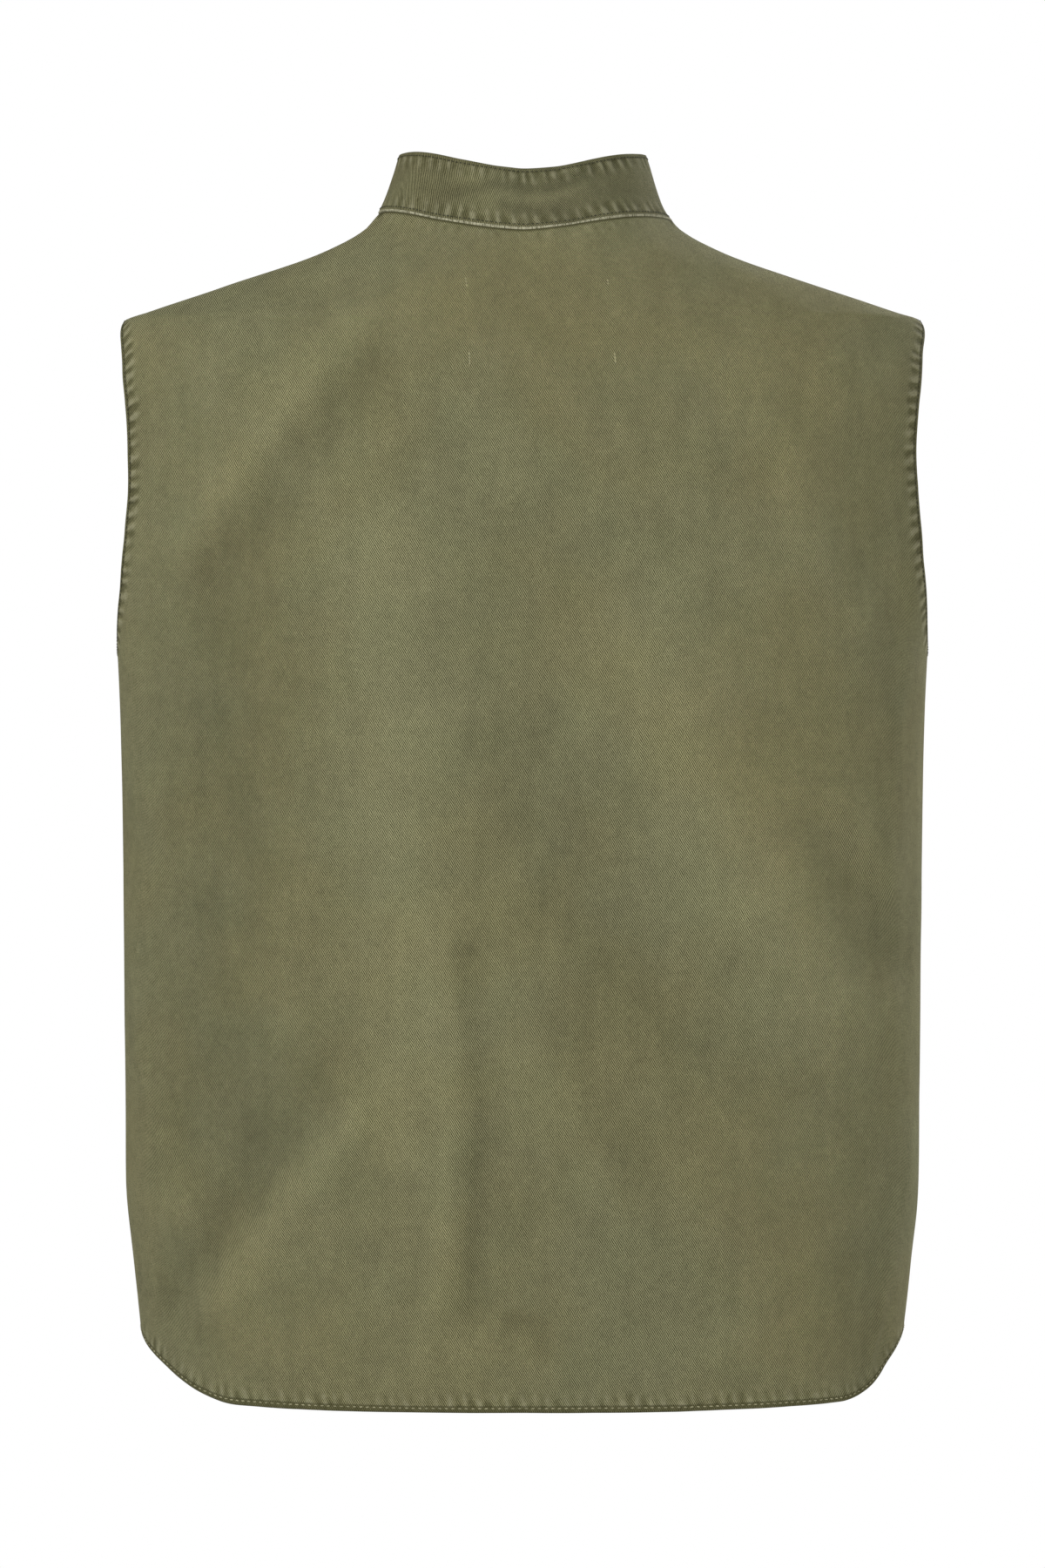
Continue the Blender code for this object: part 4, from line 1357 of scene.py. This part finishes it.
# %% Node group that sews along a line
def sewing_nodes():
    """One ellipsoid stitch at each step along the lines, lying in the cloth."""
    group = bpy.data.node_groups.new("sew_along_lines", "GeometryNodeTree")
    group.interface.new_socket("Lines", in_out="INPUT", socket_type="NodeSocketGeometry")
    for name in ("Step", "Length", "Width", "Height", "Turn", "Tilt"):
        group.interface.new_socket(name, in_out="INPUT", socket_type="NodeSocketFloat")
    group.interface.new_socket("Seed", in_out="INPUT", socket_type="NodeSocketInt")
    group.interface.new_socket("Stitches", in_out="OUTPUT", socket_type="NodeSocketGeometry")

    def add(kind, settings=(), **sockets):
        return add_node(group, kind, settings, **sockets)

    given = add("NodeGroupInput").outputs
    lines = add("GeometryNodeMeshToCurve", Mesh=given["Lines"])
    steps = add("GeometryNodeResampleCurve", {"mode": "LENGTH"}, Curve=lines.outputs[0],
                Length=given["Step"])
    outward = add("GeometryNodeInputNamedAttribute", {"data_type": "FLOAT_VECTOR"}, Name="outward")
    facing = add("FunctionNodeAxesToRotation", {"primary_axis": "Z", "secondary_axis": "X"},
                 Primary_Axis=outward.outputs[0],
                 Secondary_Axis=add("GeometryNodeInputTangent").outputs[0])
    loose = add("FunctionNodeRandomValue", {"data_type": "FLOAT_VECTOR"}, Seed=given["Seed"])
    loose.inputs[0].default_value = (-1, -1, -1)
    turn = add("ShaderNodeCombineXYZ", Z=given["Turn"])
    angles = add("ShaderNodeVectorMath", {"operation": "MULTIPLY_ADD"})
    for socket, value in zip(angles.inputs, (loose.outputs[0], given["Tilt"], turn.outputs[0])):
        group.links.new(value, socket)
    turned = add("FunctionNodeRotateRotation", {"rotation_space": "LOCAL"},
                 Rotation=facing.outputs[0],
                 Rotate_By=add("FunctionNodeEulerToRotation", Euler=angles.outputs[0]).outputs[0])
    size = add("ShaderNodeCombineXYZ", X=given["Length"], Y=given["Width"], Z=given["Height"])
    ball = add("GeometryNodeMeshUVSphere", Segments=STITCH_SIDES, Rings=STITCH_RINGS, Radius=0.5)
    stitch = add("GeometryNodeTransform", Geometry=ball.outputs[0], Scale=size.outputs[0])
    placed = add("GeometryNodeInstanceOnPoints", Points=steps.outputs[0],
                 Instance=stitch.outputs[0], Rotation=turned.outputs[0])
    whole = add("GeometryNodeRealizeInstances", Geometry=placed.outputs[0])
    smooth = add("GeometryNodeSetShadeSmooth", Geometry=whole.outputs[0])
    sewn = add("GeometryNodeSetMaterial", Geometry=smooth.outputs[0], Material=thread)
    add("NodeGroupOutput", Stitches=sewn.outputs[0])
    return group


sewing = sewing_nodes()
print("nodes in the sewing group:", len(sewing.nodes))


# %% Sew the rows
THREAD_LIFT = 0.12 * MM
STITCH_SEED = 7


def made_mesh(obj):
    """The plain mesh that an object's modifiers make of it."""
    now = bpy.context.evaluated_depsgraph_get()
    return bpy.data.meshes.new_from_object(obj.evaluated_get(now))


def sew(lines, stitch, turn=0.0):
    """A mesh of stitches along lines, each a list of places and a list of outward directions."""
    points, edges, outs = [], [], []
    for places, outward in lines:
        first = len(points)
        points += [place + out * THREAD_LIFT for place, out in zip(places, outward)]
        outs += outward
        edges += [(k, k + 1) for k in range(first, len(points) - 1)]
    path = bpy.data.meshes.new("path")
    path.from_pydata(points, edges, [])
    told = path.attributes.new("outward", "FLOAT_VECTOR", "POINT")
    told.data.foreach_set("vector", np.array(outs).ravel())
    obj = linked("path", path)
    modifier = obj.modifiers.new("sewing", "NODES")
    modifier.node_group = sewing
    step, length = stitch
    values = {"Step": step, "Length": length, "Width": STITCH_WIDTH, "Height": STITCH_HEIGHT,
              "Turn": turn, "Tilt": STITCH_TILT, "Seed": STITCH_SEED}
    for item in sewing.interface.items_tree:
        if item.name in values:
            modifier[item.identifier] = values[item.name]
    obj.update_tag()
    bpy.context.view_layer.update()
    made = made_mesh(obj)
    bpy.data.objects.remove(obj)
    return made


def as_mesh(name, shape):
    mesh = bpy.data.meshes.new(name)
    shape.to_mesh(mesh)
    shape.free()
    return mesh


def finished_piece(name, mesh, finish):
    mesh.materials.clear()
    mesh.materials.append(finish)
    mesh.shade_smooth()
    return linked(name, mesh)


def joined(name, meshes, finish):
    whole = bmesh.new()
    for mesh in meshes:
        whole.from_mesh(mesh)
    return finished_piece(name, as_mesh(name, whole), finish)


def sew_sheet(name, extra, kinds, suffix, finish):
    """All the stitches of some kinds on one sheet, with extra meshes, as one piece."""
    sheet = SHEETS[name]
    meshes = list(extra)
    for stitch in kinds:
        lines = [on_cloth(sheet, line) for line, kind in STITCH_LINES[name] if kind == stitch]
        if lines:
            meshes.append(sew(lines, stitch))
    return joined(name.replace("cloth", suffix), meshes, finish)


print(f"stitches lie {THREAD_LIFT / MM:.2f} mm proud")

# %% Buttonholes
HOLE_LENGTH = 21 * MM
HOLE_WIDTH = 1.5 * MM
HOLE_STEPS = 40


def buttonhole(sheet, centre, direction):
    """Thread sewn across the rim of a slit. direction is (across, up) along the slit."""
    grid, cloth_map = sheet["grid"].reshape(-1, 3), sheet["map"].reshape(-1, 2)
    middle = cloth_map[np.argmin(np.linalg.norm(grid - np.array(centre), axis=1))]
    turn = np.linspace(0, 2 * math.pi, HOLE_STEPS + 1)
    long, wide = np.cos(turn) * HOLE_LENGTH / 2, np.sin(turn) * HOLE_WIDTH / 2
    x, y = direction
    line = middle + np.stack([long * x - wide * y, long * y + wide * x], axis=-1)
    return sew([on_cloth(sheet, line)], SATIN_STITCH, math.pi / 2)


print(f"buttonholes {HOLE_LENGTH / MM:.0f} mm long")

# %% [markdown]
# ## Buttons
#
# Seven dark horn-like buttons close the front and the collar. Each is turned from one profile:
# a dished face inside a round rim, with four holes. They lie on the upper front, one gap off
# the cloth, as the solids do.

# %% Sizes and horn of the buttons
BUTTON_THICKNESS = 3.2 * MM
BUTTON_GAP = 0.3 * MM
FIRST_BUTTON = -128 * MM
BUTTON_SPACING = 94 * MM
BUTTONS_ON_FRONT = 6
BUTTON_STEPS = 48
HOLE_RADIUS = 1.05 * MM
HOLE_OFFSET = 1.9 * MM
HOLE_SIDES = 16
HORN_COLOURS = ((0.022, 0.016, 0.009, 1.0), (0.085, 0.062, 0.034, 1.0))
HORN_SWIRL, HORN_STREAK = (160.0, 4.0, 0.6), (0.38, 0.66)
HORN_ROUGHNESS = 0.26
SCRATCH_SCALE, SCRATCH_ROUGHNESS, SCRATCH_DEPTH = 900.0, 0.18, 0.03 * MM
SHARP_ANGLE = math.radians(40)
BUTTON_PROFILE = (
    # radius and height above the cloth side, in mm
    (0.0, 1.9), (4.2, 1.9), (5.4, 2.1), (6.2, 2.7), (7.0, 3.15), (7.7, 3.2), (8.4, 2.95),
    (8.85, 2.4), (9.0, 1.7), (8.8, 1.0), (8.2, 0.45), (7.2, 0.15), (5.0, 0.0), (0.0, 0.0),
)


def horn_finish():
    sheet = NodeSheet("dark_horn")
    place = sheet.add("ShaderNodeTexCoord").outputs["Object"]
    streak = sheet.ramp(sheet.noise(place, *HORN_SWIRL), *HORN_STREAK)
    colour = sheet.mix(streak, *HORN_COLOURS)
    scratch = sheet.noise(place, SCRATCH_SCALE)
    roughness = sheet.math("MULTIPLY_ADD", scratch, SCRATCH_ROUGHNESS, HORN_ROUGHNESS)
    return sheet.finished(colour, roughness, sheet.math("MULTIPLY", scratch, SCRATCH_DEPTH))


horn = horn_finish()
print("nodes in the horn:", len(horn.node_tree.nodes))


# %% Turn and drill a button
def turned_button():
    """A button at the origin, lying on its back, as a mesh."""
    shape = bmesh.new()
    rings = []
    for radius, height in BUTTON_PROFILE:
        if radius == 0:
            rings.append([shape.verts.new((0, 0, height * MM))])
            continue
        turns = [2 * math.pi * k / BUTTON_STEPS for k in range(BUTTON_STEPS)]
        rings.append([
            shape.verts.new((radius * MM * math.cos(t), radius * MM * math.sin(t), height * MM))
            for t in turns
        ])
    for upper, lower in zip(rings, rings[1:]):
        for k in range(BUTTON_STEPS):
            after = (k + 1) % BUTTON_STEPS
            ring = [upper[k % len(upper)], lower[k % len(lower)], lower[after % len(lower)],
                    upper[after % len(upper)]]
            shape.faces.new(list(dict.fromkeys(ring)))
    bmesh.ops.recalc_face_normals(shape, faces=shape.faces)
    return as_mesh("button", shape)


def drilled(mesh):
    """The same button with its four holes cut through."""
    body = linked("button_blank", mesh)
    drills = bmesh.new()
    for x in (-HOLE_OFFSET, HOLE_OFFSET):
        for y in (-HOLE_OFFSET, HOLE_OFFSET):
            bmesh.ops.create_cone(
                drills, cap_ends=True, segments=HOLE_SIDES, radius1=HOLE_RADIUS,
                radius2=HOLE_RADIUS, depth=4 * BUTTON_THICKNESS,
                matrix=Matrix.Translation((x, y, 0)),
            )
    drill = linked("drill", as_mesh("drill", drills))
    cut = body.modifiers.new("holes", "BOOLEAN")
    cut.operation = "DIFFERENCE"
    cut.solver = "EXACT"
    cut.object = drill
    result = made_mesh(body)
    for extra in (body, drill):
        bpy.data.objects.remove(extra)
    return result


blank = drilled(turned_button())
print("faces of a button:", len(blank.polygons))


# %% Seat the buttons
def seat_on(cloth, level):
    """Point and normal of the cloth at the centre front."""
    shape = cloth.evaluated_get(bpy.context.evaluated_depsgraph_get())
    _, point, normal, _ = shape.ray_cast(Vector((0, 1, level)), Vector((0, -1, 0)))
    return point, normal


def button_place(cloth, level):
    """Turns and moves a button from the origin to its seat on the cloth."""
    seat, normal = seat_on(cloth, level)
    turn = normal.to_track_quat("Z", "Y").to_matrix().to_4x4()
    return Matrix.Translation(seat + normal * BUTTON_GAP) @ turn


def make_button(name, blank, cloth, level):
    mesh = blank.copy()
    mesh.transform(button_place(cloth, level))
    obj = finished_piece(name, mesh, horn)
    mesh.set_sharp_from_angle(angle=SHARP_ANGLE)
    return obj


bpy.context.view_layer.update()
button_levels = {"button_collar": (collar, NECK_AT_FRONT + COLLAR_HEIGHT / 2)}
for i in range(BUTTONS_ON_FRONT):
    button_levels[f"button_{i + 1}"] = (front_right, FIRST_BUTTON - i * BUTTON_SPACING)
buttons = {node: make_button(f"{node}_horn", blank, *place)
           for node, place in button_levels.items()}
print(len(buttons), "buttons")

# %% Thread of the buttons
STRAND = (4.0 * MM, 0.55 * MM, 0.7 * MM)
STRAND_SPREAD = 0.42 * MM
STRAND_HEIGHT = 2.0 * MM
STRAND_SIDES, STRAND_RINGS = 10, 8


def button_thread(cloth, level):
    """Two bars of three strands, each over a pair of holes."""
    there = button_place(cloth, level)
    shape = bmesh.new()
    for side in (-HOLE_OFFSET, HOLE_OFFSET):
        for shift in (-STRAND_SPREAD, 0, STRAND_SPREAD):
            place = Matrix.Translation((0, side + shift, STRAND_HEIGHT))
            bmesh.ops.create_uvsphere(
                shape, u_segments=STRAND_SIDES, v_segments=STRAND_RINGS, radius=0.5,
                matrix=there @ place @ Matrix.Diagonal((*STRAND, 1)),
            )
    return as_mesh("button_thread", shape)


print(f"strands {STRAND[0] / MM:.0f} mm long")

# %% Sew on the buttons, and sew every row
button_threads = joined("button_threads", [button_thread(*place)
                                           for place in button_levels.values()], thread)
holes = {"front_right_cloth": [], "collar_cloth": []}
for cloth, level in button_levels.values():
    along = (1, 0) if cloth is collar else (0, 1)
    holes[cloth.name].append(buttonhole(SHEETS[cloth.name], seat_on(cloth, level)[0], along))
stitches = {name: [sew_sheet(name, (), (DARK_STITCH, COLLAR_STITCH), "dark_stitches",
                             dark_thread)] for name in SHEETS}
for name in SHEETS:
    kinds = (HEM_STITCH, EDGE_STITCH, SATIN_STITCH)
    stitches[name].append(sew_sheet(name, holes.get(name, ()), kinds, "pale_stitches", thread))
    for piece in stitches[name]:
        print(piece.name, len(piece.data.polygons), "faces")

# %% [markdown]
# ## The pieces on the body
#
# Every piece rides on the one body and stands for its solid.


for node, obj in (("back", back), ("front_right", front_right), ("front_left", front_left),
                  ("collar", collar)):
    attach(obj, "root")
    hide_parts(node)
    for row in stitches[obj.name]:
        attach(row, "root")
for node, obj in buttons.items():
    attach(obj, "root")
    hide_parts(node)
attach(button_threads, "root")
